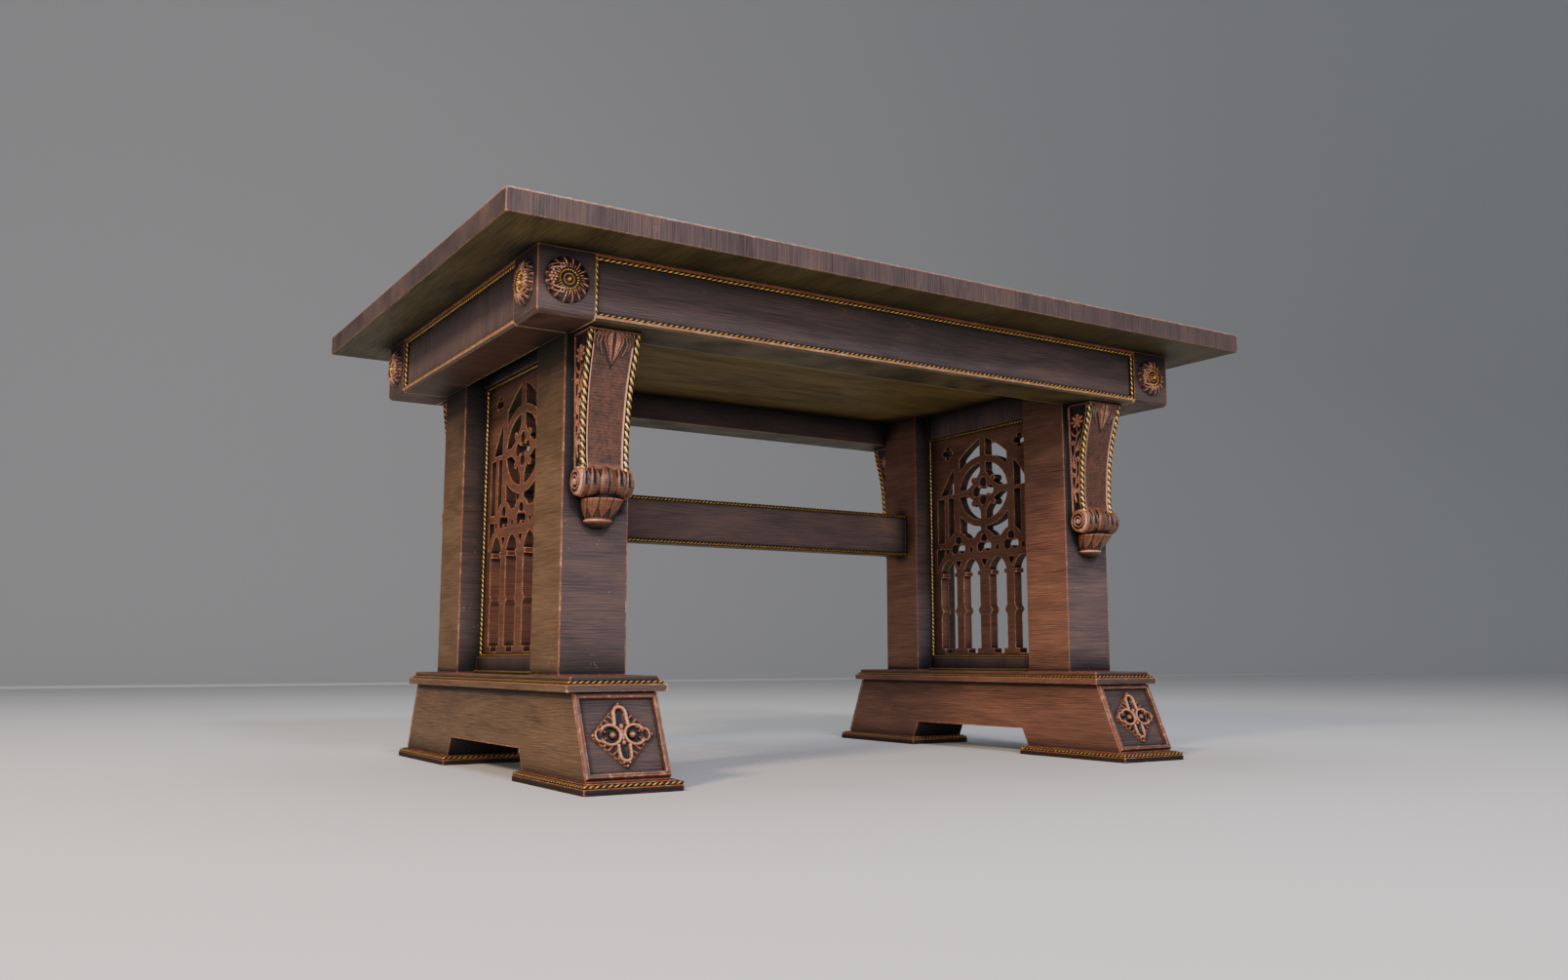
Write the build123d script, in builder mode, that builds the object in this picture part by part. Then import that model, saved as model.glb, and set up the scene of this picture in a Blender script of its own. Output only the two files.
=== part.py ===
"""Carved communion table: slab top on a deep box frieze, four square legs with
scrolled brackets, a pierced Gothic panel in each end, and two battered sledge feet.

Millimetres. X runs along the table, -Y is the front, Z is up.
The origin is on the floor under the middle of the top.
"""
from build123d import *
import os
from math import hypot

# Slab top
TOP_LENGTH = 1468.0
TOP_DEPTH = 954.0
TOP_UNDERSIDE = 766.6
TOP_EDGE = 800.0
FIELD_TOP = 805.0
FIELD_INSET = 14.0
TOP_ROPE_R = 4.3
TOP_ROPE_INSET = 9.4

# Frieze
FRIEZE_HALF_LENGTH = 648.0
FRIEZE_HALF_DEPTH = 374.8
FRIEZE_UNDERSIDE = 667.4
CORNER_BLOCK = 90.0
FRIEZE_CHAMFER = 5.0
RECESS_DEPTH = 7.0
RECESS_LOW = 674.0
RECESS_HIGH = 763.0
BEAM_FACE = 24.0
BEAM_FLOOR = 18.0
BEAM_BACK = 20.0
FRIEZE_ROPE_R = 2.6
SOFFIT_LOW = 720.0
SOFFIT_THICK = 18.0
ROSETTE_R = 34.0
ROSETTE_Z = 719.0

# Legs and stretcher
END_X = 511.5
LEG_WIDTH = 108.0
LEG_DEPTH = 110.0
LEG_Y = 227.8
LEG_TENON = 70.0
LEG_TENON_DROP = 50.0
STRETCHER_LOW = 407.6
STRETCHER_HIGH = 499.9
STRETCHER_THICK = 34.0
STRETCHER_TENON = 45.0
ROPE_R = 2.4
PEG_R = 5.0

# Feet
PLATE_LOW = 135.7
PLATE_HIGH = 157.8
PLATE_STEP = 146.7
PLATE_HALF_WIDTH = 78.3
PLATE_HALF_DEPTH = 372.6
PLATE_INSET = 9.0
PLATE_ROPE_R = 2.3
SLEDGE_HALF_WIDTH = 64.5
SLEDGE_LOW = 15.7
SLEDGE_TOP_Y = 365.1
SLEDGE_FOOT_Y = 418.0
PANEL_SET_BACK = 5.0
ARCH_TOP = 48.1
ARCH_TOP_Y = 162.0
ARCH_FOOT_Y = 177.6
PAD_HALF_WIDTH = 75.6
PAD_INNER_Y = 165.8
PAD_OUTER_Y = 432.6
PAD_STEP = 9.4
PAD_INSET = 5.6

# Pierced end panels
FRET_THICK = 20.0
RAIL_THICK = 38.0
RAIL_ARRIS = 1.0
FRET_LOW = 185.5
FRET_HIGH = 667.4

# Brackets on the legs
BRACKET_HALF_TOP = 40.0
BRACKET_HALF_FOOT = 36.0
CAP_THICK = 5.0
ROLL_Z = 441.0
ROLL_R = 22.0
ROLL_HALF = 46.0
CHANNEL_R = 4.2

LEG_INNER_X = END_X - LEG_WIDTH / 2
LEG_OUTER_X = END_X + LEG_WIDTH / 2
LEG_INNER_Y = LEG_Y - LEG_DEPTH / 2
LEG_OUTER_Y = LEG_Y + LEG_DEPTH / 2
BEAM_END_X = FRIEZE_HALF_LENGTH - CORNER_BLOCK

SIDES = {"left": -1, "right": 1}
FACES = {"front": -1, "back": 1}

os.makedirs("parts", exist_ok=True)


def save(name, shape):
    """Label one sub-part and write its STEP file."""
    shape.label = name
    export_step(shape, f"parts/{name}.step")


def box(x0, x1, y0, y1, z0, z1, mode=Mode.ADD):
    """A block given by its limits, added to the part being built."""
    with Locations(((x0 + x1) / 2, (y0 + y1) / 2, (z0 + z1) / 2)):
        Box(x1 - x0, y1 - y0, z1 - z0, mode=mode)


def rod(start, end, radius):
    """A round strip from one point to another."""
    run = Vector(*end) - Vector(*start)
    with BuildPart() as strip:
        with BuildSketch(Plane(origin=start, z_dir=run)):
            Circle(radius)
        extrude(amount=run.length)
    return strip.part


def ring_of_rods(half_x, half_y, z, radius, x=0.0, y=0.0):
    """Four strips laid round a rectangle: two full length, two between them."""
    strips = []
    for side in (-1, 1):
        edge = y + side * half_y
        strips.append(rod((x - half_x - radius, edge, z), (x + half_x + radius, edge, z), radius))
    for side in (-1, 1):
        edge = x + side * half_x
        strips.append(rod((edge, y - half_y + radius, z), (edge, y + half_y - radius, z), radius))
    return strips


# ---------------------------------------------------------------- slab top

SCREWS_FRONT_X = (-400, -133, 133, 400)
SCREWS_END_Y = (-120, 120)
CLEAT_WIDTH = 40.0
CLEAT_LOW = 742.0
SCREW_R = 2.5
SCREW_HEAD_R = 5.0
SCREW_BITE = 18.0
SCREW_POINT = 2.0
SCREW_SLOT = (6.0, 1.2, 1.5)
LONG_CLEAT_HALF = 440.0
END_CLEAT_HALF = 160.0
SLAB_ARRIS = 1.0

screw_spots = []
for face in FACES.values():
    for x in SCREWS_FRONT_X:
        screw_spots.append((x, face * (LEG_OUTER_Y - CLEAT_WIDTH / 2)))
for side in SIDES.values():
    for y in SCREWS_END_Y:
        screw_spots.append((side * (LEG_OUTER_X - CLEAT_WIDTH / 2), y))

rope_half_x = TOP_LENGTH / 2 - TOP_ROPE_INSET
rope_half_y = TOP_DEPTH / 2 - TOP_ROPE_INSET
top_rope_parts = ring_of_rods(rope_half_x, rope_half_y, TOP_EDGE + 0.4, TOP_ROPE_R)
top_rope = Compound(children=top_rope_parts)
save("top_rope_bead", top_rope)

with BuildPart() as top_slab:
    box(-TOP_LENGTH / 2, TOP_LENGTH / 2, -TOP_DEPTH / 2, TOP_DEPTH / 2, TOP_UNDERSIDE, TOP_EDGE)
    field_x = TOP_LENGTH / 2 - FIELD_INSET
    field_y = TOP_DEPTH / 2 - FIELD_INSET
    box(-field_x, field_x, -field_y, field_y, TOP_EDGE, FIELD_TOP)
    for strip in top_rope_parts:
        add(strip, mode=Mode.SUBTRACT)
    with Locations([(x, y, TOP_UNDERSIDE + SCREW_BITE / 2) for x, y in screw_spots]):
        Cylinder(SCREW_R, SCREW_BITE, mode=Mode.SUBTRACT)
    low_edges = top_slab.edges().group_by(Axis.Z)[0].filter_by(GeomType.LINE)
    chamfer(low_edges, SLAB_ARRIS)
save("top_slab", top_slab.part)

cleats = []
for face in FACES.values():
    inner = face * (LEG_OUTER_Y - CLEAT_WIDTH)
    outer = face * LEG_OUTER_Y
    with BuildPart() as cleat:
        box(
            -LONG_CLEAT_HALF,
            LONG_CLEAT_HALF,
            min(inner, outer),
            max(inner, outer),
            CLEAT_LOW,
            TOP_UNDERSIDE,
        )
    cleats.append(cleat)
for side in SIDES.values():
    inner = side * (LEG_OUTER_X - CLEAT_WIDTH)
    outer = side * LEG_OUTER_X
    with BuildPart() as cleat:
        box(
            min(inner, outer),
            max(inner, outer),
            -END_CLEAT_HALF,
            END_CLEAT_HALF,
            CLEAT_LOW,
            TOP_UNDERSIDE,
        )
    cleats.append(cleat)


def screw(x, y):
    """One countersunk screw, point up, with its head flush under the cleat."""
    with BuildPart() as one:
        with BuildSketch(Plane.XZ):
            with BuildLine():
                Polyline(
                    (0, 0),
                    (SCREW_HEAD_R, 0),
                    (SCREW_R, SCREW_HEAD_R - SCREW_R),
                    (SCREW_R, TOP_UNDERSIDE - CLEAT_LOW + SCREW_BITE - SCREW_POINT),
                    (0, TOP_UNDERSIDE - CLEAT_LOW + SCREW_BITE),
                    close=True,
                )
            make_face()
        revolve(axis=Axis.Z)
        with BuildSketch(Plane.XY):
            Rectangle(SCREW_SLOT[0], SCREW_SLOT[1])
            Rectangle(SCREW_SLOT[1], SCREW_SLOT[0])
        extrude(amount=SCREW_SLOT[2], mode=Mode.SUBTRACT)
    return one.part.moved(Location((x, y, CLEAT_LOW)))


for cleat in cleats:
    with cleat:
        for x, y in screw_spots:
            with Locations((x, y, (CLEAT_LOW + TOP_UNDERSIDE) / 2)):
                Cylinder(SCREW_R, TOP_UNDERSIDE - CLEAT_LOW, mode=Mode.SUBTRACT)
            with Locations((x, y, CLEAT_LOW + (SCREW_HEAD_R - SCREW_R) / 2)):
                Cone(SCREW_HEAD_R, SCREW_R, SCREW_HEAD_R - SCREW_R, mode=Mode.SUBTRACT)
save("top_cleats", Compound(children=[cleat.part for cleat in cleats]))
save("top_fixing_screws", Compound(children=[screw(x, y) for x, y in screw_spots]))

with BuildPart() as soffit_panel:
    box(-LEG_OUTER_X, LEG_OUTER_X, -LEG_OUTER_Y, LEG_OUTER_Y, SOFFIT_LOW, SOFFIT_LOW + SOFFIT_THICK)
save("soffit_panel", soffit_panel.part)


# ---------------------------------------------------------------- frieze

def beam_profile(back, face):
    """Section of a frieze box beam: recessed face, floor and back wall, open at the top."""
    with BuildSketch() as section:
        with BuildLine():
            Polyline(
                (back, FRIEZE_UNDERSIDE),
                (face - FRIEZE_CHAMFER, FRIEZE_UNDERSIDE),
                (face, FRIEZE_UNDERSIDE + FRIEZE_CHAMFER),
                (face, RECESS_LOW),
                (face - RECESS_DEPTH, RECESS_LOW),
                (face - RECESS_DEPTH, RECESS_HIGH),
                (face, RECESS_HIGH),
                (face, TOP_UNDERSIDE),
                (face - BEAM_FACE, TOP_UNDERSIDE),
                (face - BEAM_FACE, FRIEZE_UNDERSIDE + BEAM_FLOOR),
                (back + BEAM_BACK, FRIEZE_UNDERSIDE + BEAM_FLOOR),
                (back + BEAM_BACK, TOP_UNDERSIDE),
                (back, TOP_UNDERSIDE),
                close=True,
            )
        make_face()
    return section.sketch


LONG_BEAM = beam_profile(LEG_OUTER_Y, FRIEZE_HALF_DEPTH)
END_BEAM = beam_profile(LEG_OUTER_X, FRIEZE_HALF_LENGTH)

with BuildPart() as back_beam:
    with BuildSketch(Plane.YZ):
        add(LONG_BEAM)
    extrude(amount=BEAM_END_X, both=True)
save("frieze_beam_back", back_beam.part)
save("frieze_beam_front", back_beam.part.mirror(Plane.XZ))

with BuildPart() as right_beam:
    with BuildSketch(Plane.XZ):
        add(END_BEAM)
    extrude(amount=LEG_OUTER_Y, both=True)
save("frieze_beam_right", right_beam.part)
save("frieze_beam_left", right_beam.part.mirror(Plane.YZ))

with BuildPart() as corner_block:
    box(BEAM_END_X, FRIEZE_HALF_LENGTH, LEG_OUTER_Y, FRIEZE_HALF_DEPTH, FRIEZE_UNDERSIDE, TOP_UNDERSIDE)
    underside = corner_block.edges().group_by(Axis.Z)[0]
    outer_x = underside.sort_by(Axis.X)[-1]
    outer_y = underside.sort_by(Axis.Y)[-1]
    chamfer([outer_x, outer_y], FRIEZE_CHAMFER)


def four_corners(shape, name):
    """Save a back-right piece at all four corners of the table."""
    for side_name, side in SIDES.items():
        for face_name, face in FACES.items():
            piece = shape
            if side < 0:
                piece = piece.mirror(Plane.YZ)
            if face < 0:
                piece = piece.mirror(Plane.XZ)
            save(f"{name}_{face_name}_{side_name}", piece)


four_corners(corner_block.part, "corner_block")

frieze_ropes = []
rope_low = RECESS_LOW + FRIEZE_ROPE_R
rope_high = RECESS_HIGH - FRIEZE_ROPE_R
for face in FACES.values():
    y = face * (FRIEZE_HALF_DEPTH - RECESS_DEPTH + FRIEZE_ROPE_R)
    for z in (rope_low, rope_high):
        frieze_ropes.append(rod((-BEAM_END_X, y, z), (BEAM_END_X, y, z), FRIEZE_ROPE_R))
    for side in SIDES.values():
        x = side * (BEAM_END_X - FRIEZE_ROPE_R)
        frieze_ropes.append(
            rod((x, y, rope_low + FRIEZE_ROPE_R), (x, y, rope_high - FRIEZE_ROPE_R), FRIEZE_ROPE_R)
        )
for side in SIDES.values():
    x = side * (FRIEZE_HALF_LENGTH - RECESS_DEPTH + FRIEZE_ROPE_R)
    for z in (rope_low, rope_high):
        frieze_ropes.append(rod((x, -LEG_OUTER_Y, z), (x, LEG_OUTER_Y, z), FRIEZE_ROPE_R))
    for face in FACES.values():
        y = face * (LEG_OUTER_Y - FRIEZE_ROPE_R)
        frieze_ropes.append(
            rod((x, y, rope_low + FRIEZE_ROPE_R), (x, y, rope_high - FRIEZE_ROPE_R), FRIEZE_ROPE_R)
        )
save("frieze_rope_beads", Compound(children=frieze_ropes))


ROSETTE_RIM = 3.0
ROSETTE_SLOPE = 5.0
ROSETTE_CROWN_R = 26.0
SCALLOPS = 16
SCALLOP_R = 3.0
SCALLOP_OUT = 1.5
ROSETTE_RING = (16.0, 3.0)
BOSS = (11.0, 6.0, 7.0)


def rosette(plane):
    """A carved flower: scalloped rim, inner ring and a raised boss."""
    with BuildPart() as flower:
        Cylinder(ROSETTE_R, ROSETTE_RIM, align=(Align.CENTER, Align.CENTER, Align.MIN))
        with Locations((0, 0, ROSETTE_RIM)):
            Cone(ROSETTE_R, ROSETTE_CROWN_R, ROSETTE_SLOPE, align=(Align.CENTER, Align.CENTER, Align.MIN))
        with PolarLocations(ROSETTE_R + SCALLOP_OUT, SCALLOPS):
            Cylinder(SCALLOP_R, 20, mode=Mode.SUBTRACT)
        with Locations((0, 0, ROSETTE_RIM + ROSETTE_SLOPE)):
            Torus(*ROSETTE_RING)
            Cone(*BOSS, align=(Align.CENTER, Align.CENTER, Align.MIN))
    return plane.location * flower.part


block_x = BEAM_END_X + CORNER_BLOCK / 2
block_y = (LEG_OUTER_Y + FRIEZE_HALF_DEPTH) / 2
for face_name, face in FACES.items():
    flowers = []
    for side in SIDES.values():
        spot = (side * block_x, face * FRIEZE_HALF_DEPTH, ROSETTE_Z)
        flowers.append(rosette(Plane(origin=spot, x_dir=(-face, 0, 0), z_dir=(0, face, 0))))
    save(f"rosettes_{face_name}", Compound(children=flowers))
for side_name, side in SIDES.items():
    flowers = []
    for face in FACES.values():
        spot = (side * FRIEZE_HALF_LENGTH, face * block_y, ROSETTE_Z)
        flowers.append(rosette(Plane(origin=spot, x_dir=(0, side, 0), z_dir=(side, 0, 0))))
    save(f"rosettes_{side_name}", Compound(children=flowers))


# ---------------------------------------------------------------- legs and stretcher

STRETCHER_MID = (STRETCHER_LOW + STRETCHER_HIGH) / 2
TENON_HALF_THICK = 8.0
TENON_HALF_HEIGHT = 32.0
PEG_IN = 22.0
PEG_APART = 32.0
PEG_SPOTS = [
    (LEG_INNER_X + PEG_IN, STRETCHER_MID - PEG_APART / 2),
    (LEG_INNER_X + PEG_IN, STRETCHER_MID + PEG_APART / 2),
]
PEG_LENGTH = 76.0
DOWEL_R = 4.0
DOWEL_BITE = 20.0
DOWEL_SLACK = 1.0
DOWEL_Z = (500.0, 620.0)
LEG_ARRIS = 1.2
STRETCHER_ARRIS = 1.0
STRETCHER_ROPE_INSET = 4.5


def leg(face):
    """A right-hand leg with its foot tenon; the back one also takes the stretcher."""
    with BuildPart() as post:
        y0 = min(face * LEG_INNER_Y, face * LEG_OUTER_Y)
        box(LEG_INNER_X, LEG_OUTER_X, y0, y0 + LEG_DEPTH, PLATE_HIGH, SOFFIT_LOW)
        chamfer(post.edges().filter_by(Axis.Z), LEG_ARRIS)
        with Locations((END_X, face * LEG_Y, PLATE_HIGH - LEG_TENON_DROP / 2)):
            Box(LEG_TENON, LEG_TENON, LEG_TENON_DROP)
        for z in DOWEL_Z:
            with Locations((END_X, face * (LEG_OUTER_Y - DOWEL_BITE / 2), z)):
                Cylinder(DOWEL_R, DOWEL_BITE, rotation=(90, 0, 0), mode=Mode.SUBTRACT)
        if face > 0:
            box(
                LEG_INNER_X,
                LEG_INNER_X + STRETCHER_TENON,
                LEG_Y - TENON_HALF_THICK,
                LEG_Y + TENON_HALF_THICK,
                STRETCHER_MID - TENON_HALF_HEIGHT,
                STRETCHER_MID + TENON_HALF_HEIGHT,
                mode=Mode.SUBTRACT,
            )
            for x, z in PEG_SPOTS:
                with Locations((x, LEG_OUTER_Y - PEG_LENGTH / 2, z)):
                    Cylinder(PEG_R, PEG_LENGTH, rotation=(90, 0, 0), mode=Mode.SUBTRACT)
    return post.part


for face_name, face in FACES.items():
    post = leg(face)
    save(f"leg_{face_name}_right", post)
    save(f"leg_{face_name}_left", post.mirror(Plane.YZ))

with BuildPart() as stretcher:
    box(
        -LEG_INNER_X,
        LEG_INNER_X,
        LEG_Y - STRETCHER_THICK / 2,
        LEG_Y + STRETCHER_THICK / 2,
        STRETCHER_LOW,
        STRETCHER_HIGH,
    )
    chamfer(stretcher.edges().filter_by(Axis.X), STRETCHER_ARRIS)
    box(
        -LEG_INNER_X - STRETCHER_TENON,
        LEG_INNER_X + STRETCHER_TENON,
        LEG_Y - TENON_HALF_THICK,
        LEG_Y + TENON_HALF_THICK,
        STRETCHER_MID - TENON_HALF_HEIGHT,
        STRETCHER_MID + TENON_HALF_HEIGHT,
    )
    for x, z in PEG_SPOTS:
        for side in SIDES.values():
            with Locations((side * x, LEG_Y, z)):
                Cylinder(PEG_R, STRETCHER_THICK, rotation=(90, 0, 0), mode=Mode.SUBTRACT)
save("stretcher", stretcher.part)

pegs = []
for x, z in PEG_SPOTS:
    for side in SIDES.values():
        pegs.append(rod((side * x, LEG_OUTER_Y - PEG_LENGTH, z), (side * x, LEG_OUTER_Y, z), PEG_R))
save("stretcher_pegs", Compound(children=pegs))

stretcher_ropes = []
for face in FACES.values():
    y = LEG_Y + face * (STRETCHER_THICK / 2 + ROPE_R)
    for z in (STRETCHER_LOW + STRETCHER_ROPE_INSET, STRETCHER_HIGH - STRETCHER_ROPE_INSET):
        stretcher_ropes.append(rod((-LEG_INNER_X, y, z), (LEG_INNER_X, y, z), ROPE_R))
save("stretcher_rope_beads", Compound(children=stretcher_ropes))


# ---------------------------------------------------------------- brackets

CAP_Z = FRIEZE_UNDERSIDE - CAP_THICK
CAP_Y = LEG_OUTER_Y + 62.0
CAP_HALF = 42.0
ROLL_OUT = 23.0
ROLL_Y = LEG_OUTER_Y + ROLL_OUT
DISC_THICK = 4.0
DISC_INSET = 6.0
ROPE_SEAT = 1.5
ROPE_SLACK = 0.02
BRACKET_FOOT = 458.0
HEEL_Z = 425.0
HEEL_OUT = 30.0
FRONT_CURVE = [
    (LEG_OUTER_Y + 58, CAP_Z),
    (LEG_OUTER_Y + 55, 645),
    (LEG_OUTER_Y + 45, 612),
    (LEG_OUTER_Y + 36, 570),
    (LEG_OUTER_Y + 31, 525),
    (LEG_OUTER_Y + 30, 488),
    (LEG_OUTER_Y + 34, BRACKET_FOOT),
]


def half_width(z):
    """Half the bracket's width at a height: it narrows evenly towards the scroll."""
    down = (CAP_Z - z) / (CAP_Z - BRACKET_FOOT)
    return BRACKET_HALF_TOP - (BRACKET_HALF_TOP - BRACKET_HALF_FOOT) * down


def corner_rope(side, radius):
    """The rope that follows one front corner of a bracket."""
    points = [
        (END_X + side * (half_width(z) - ROPE_SEAT), y - ROPE_SEAT, z) for y, z in FRONT_CURVE
    ]
    with BuildPart() as cord:
        with BuildLine() as path:
            Spline(points)
        start = path.line
        with BuildSketch(Plane(origin=start @ 0, z_dir=start % 0)):
            Circle(radius)
        sweep()
    return cord.part


with BuildPart() as bracket:
    with BuildSketch(Plane.YZ.offset(END_X)):
        with BuildLine():
            Spline(FRONT_CURVE)
            Polyline(
                FRONT_CURVE[-1],
                (LEG_OUTER_Y + HEEL_OUT, ROLL_Z),
                (LEG_OUTER_Y, HEEL_Z),
                (LEG_OUTER_Y, CAP_Z),
                FRONT_CURVE[0],
            )
        make_face()
    extrude(amount=BRACKET_HALF_TOP, both=True)
    with BuildSketch(Plane.XZ):
        Polygon(
            (END_X - BRACKET_HALF_TOP, CAP_Z),
            (END_X + BRACKET_HALF_TOP, CAP_Z),
            (END_X + BRACKET_HALF_FOOT, BRACKET_FOOT),
            (END_X + BRACKET_HALF_FOOT, HEEL_Z),
            (END_X - BRACKET_HALF_FOOT, HEEL_Z),
            (END_X - BRACKET_HALF_FOOT, BRACKET_FOOT),
            align=None,
        )
    extrude(amount=-2 * LEG_OUTER_Y, mode=Mode.INTERSECT)
    with Locations((END_X, ROLL_Y, ROLL_Z)):
        Cylinder(ROLL_R, 2 * (ROLL_HALF - DISC_THICK), rotation=(0, 90, 0))
    for side in (-1, 1):
        with Locations((END_X + side * (ROLL_HALF - DISC_THICK / 2), ROLL_Y, ROLL_Z)):
            Cylinder(ROLL_R - DISC_INSET, DISC_THICK, rotation=(0, 90, 0))
    box(END_X - CAP_HALF, END_X + CAP_HALF, LEG_OUTER_Y, CAP_Y, CAP_Z, FRIEZE_UNDERSIDE)
    for z in DOWEL_Z:
        with Locations((END_X, LEG_OUTER_Y + DOWEL_BITE / 2, z)):
            Cylinder(DOWEL_R, DOWEL_BITE, rotation=(90, 0, 0), mode=Mode.SUBTRACT)
    for side in (-1, 1):
        add(corner_rope(side, CHANNEL_R), mode=Mode.SUBTRACT)
four_corners(bracket.part, "bracket")

DROP_SHANK_TOP = 424.0
DROP_SHANK_R = 20.0
DROP_TOP = 415.5
DROP_TOP_R = 32.0
DROP_TOP_OUT = 24.0
DROP_RIM = 386.0
DROP_NECK_R = 20.0
DROP_RIM_R = 21.5
DROP_RIM_OUT = 8.5
DROP_RIM_THICK = 2.5
DROP_FOOT = 376.0
DROP_FOOT_R = 10.0

with BuildPart() as bracket_drop:
    with BuildSketch(Plane.XY.offset(DROP_TOP)):
        with Locations((END_X, LEG_OUTER_Y + DROP_TOP_OUT)):
            Circle(DROP_TOP_R)
    with BuildSketch(Plane.XY.offset(DROP_RIM)):
        with Locations((END_X, LEG_OUTER_Y + DROP_RIM_OUT)):
            Circle(DROP_NECK_R)
    loft()
    with Locations((END_X, LEG_OUTER_Y + DROP_TOP_OUT, (DROP_TOP + DROP_SHANK_TOP) / 2)):
        Cylinder(DROP_SHANK_R, DROP_SHANK_TOP - DROP_TOP)
    with Locations((END_X, LEG_OUTER_Y + DROP_RIM_OUT, DROP_RIM - DROP_RIM_THICK / 2)):
        Cylinder(DROP_RIM_R, DROP_RIM_THICK)
    with BuildSketch(Plane.XY.offset(DROP_RIM - DROP_RIM_THICK)):
        with Locations((END_X, LEG_OUTER_Y + DROP_RIM_OUT)):
            Circle(DROP_NECK_R)
    with BuildSketch(Plane.XY.offset(DROP_FOOT)):
        with Locations((END_X, LEG_OUTER_Y + DROP_RIM_OUT)):
            Circle(DROP_FOOT_R)
    loft()
    box(
        END_X - LEG_WIDTH / 2,
        END_X + LEG_WIDTH / 2,
        LEG_OUTER_Y - LEG_DEPTH / 2,
        LEG_OUTER_Y,
        DROP_FOOT,
        DROP_SHANK_TOP,
        mode=Mode.SUBTRACT,
    )
    with Locations((END_X, ROLL_Y, ROLL_Z)):
        Cylinder(ROLL_R, LEG_WIDTH, rotation=(0, 90, 0), mode=Mode.SUBTRACT)
four_corners(bracket_drop.part, "bracket_drop")

bracket_ropes = []
dowels = []
for side in (-1, 1):
    cord = corner_rope(side, CHANNEL_R - ROPE_SLACK)
    for across in (cord, cord.mirror(Plane.YZ)):
        bracket_ropes.append(across)
        bracket_ropes.append(across.mirror(Plane.XZ))
for side in SIDES.values():
    for face in FACES.values():
        for z in DOWEL_Z:
            near = (side * END_X, face * (LEG_OUTER_Y - DOWEL_BITE + DOWEL_SLACK), z)
            far = (side * END_X, face * (LEG_OUTER_Y + DOWEL_BITE - DOWEL_SLACK), z)
            dowels.append(rod(near, far, DOWEL_R))
save("bracket_rope_beads", Compound(children=bracket_ropes))
save("bracket_dowels", Compound(children=dowels))


# ---------------------------------------------------------------- pierced end panels

LANCETS = (-116.0, -41.0, 41.0, 116.0)
LANCET_HALF = 26.0
LANCET_FOOT = 204.0
KNUCKLE_Z = 283.0
KNUCKLE = 7.0
IMPOST_LOW = 357.0
IMPOST_HIGH = 366.0
IMPOST_OUT = 6.5
LANCET_APEX = 394.0
TREFOILS = (-83.0, 0.0, 83.0)
HOOD_R = 36.0
HOOD_Z = 417.0
MULLION_IN = 75.0
MULLION_OUT = 95.0
TRANSOM_LOW = 529.0
TRANSOM_HIGH = 537.0
ARCH_R = 257.0
ARCH_CENTRE_Y = 84.5
ARCH_CENTRE_Z = 408.5
RING_Z = 535.0
RING_OUTER = (97.0, 76.0)
RING_INNER = (76.0, 61.5)
BAR_HALF = 8.5


def lancet(y):
    """One pointed light with a stepped foot, side knuckles and imposts."""
    w = LANCET_HALF
    right = [
        (15, LANCET_FOOT - 10),
        (15, LANCET_FOOT),
        (w, LANCET_FOOT),
        (w, KNUCKLE_Z - 10),
        (w - KNUCKLE, KNUCKLE_Z),
        (w, KNUCKLE_Z + 10),
        (w, IMPOST_LOW),
        (w - IMPOST_OUT, IMPOST_LOW),
        (w - IMPOST_OUT, IMPOST_HIGH),
        (w, IMPOST_HIGH),
    ]
    left = [(-u, v) for u, v in reversed(right)]
    with BuildSketch() as light:
        with BuildLine():
            Polyline([(y + u, v) for u, v in right])
            ThreePointArc((y + w, IMPOST_HIGH), (y + 17.5, 383.5), (y, LANCET_APEX))
            ThreePointArc((y, LANCET_APEX), (y - 17.5, 383.5), (y - w, IMPOST_HIGH))
            Polyline([(y + u, v) for u, v in left])
            Line((y - 15, LANCET_FOOT - 10), (y + 15, LANCET_FOOT - 10))
        make_face()
    return light.sketch


def foils(y, z, spots, radius, core):
    """A cluster of round lobes joined by a small square core."""
    with BuildSketch() as cluster:
        with Locations([(y + u, z + v) for u, v in spots]):
            Circle(radius)
        with Locations((y, z)):
            Rectangle(core, core, rotation=45)
    return cluster.sketch


def great_arch():
    """The large pointed arch that carries the ring."""
    with BuildSketch() as shape:
        with Locations((-ARCH_CENTRE_Y, ARCH_CENTRE_Z)):
            Circle(ARCH_R)
        with Locations((ARCH_CENTRE_Y, ARCH_CENTRE_Z)):
            Circle(ARCH_R, mode=Mode.INTERSECT)
    return shape.sketch


def head_lights():
    """Openings between the great arch, the ring and the mullions."""
    with BuildSketch() as shape:
        with Locations((0, 600)):
            Rectangle(2 * MULLION_IN, 130)
        add(great_arch(), mode=Mode.INTERSECT)
        with Locations((0, RING_Z)):
            Ellipse(*RING_OUTER, mode=Mode.SUBTRACT)
            Rectangle(400, 2 * 30, mode=Mode.SUBTRACT)
        with Locations((0, 600)):
            Rectangle(2 * BAR_HALF, 200, mode=Mode.SUBTRACT)
    return shape.sketch


def spandrel_lights():
    """Curved triangles outside the mullions, above the transom."""
    with BuildSketch() as shape:
        for side in (-1, 1):
            with Locations((side * (MULLION_OUT + 40), TRANSOM_HIGH + 50)):
                Rectangle(80, 100)
        add(great_arch(), mode=Mode.INTERSECT)
    return shape.sketch


def lower_lights():
    """Openings below the ring, above the trefoil hoods."""
    with BuildSketch() as shape:
        with Locations((0, 486)):
            Rectangle(2 * MULLION_IN, 98)
        with Locations((0, RING_Z)):
            Ellipse(*RING_OUTER, mode=Mode.SUBTRACT)
        with Locations([(y, HOOD_Z) for y in TREFOILS]):
            Circle(HOOD_R, mode=Mode.SUBTRACT)
        with Locations((0, 470)):
            Rectangle(2 * BAR_HALF, 100, mode=Mode.SUBTRACT)
    return shape.sketch


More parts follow.
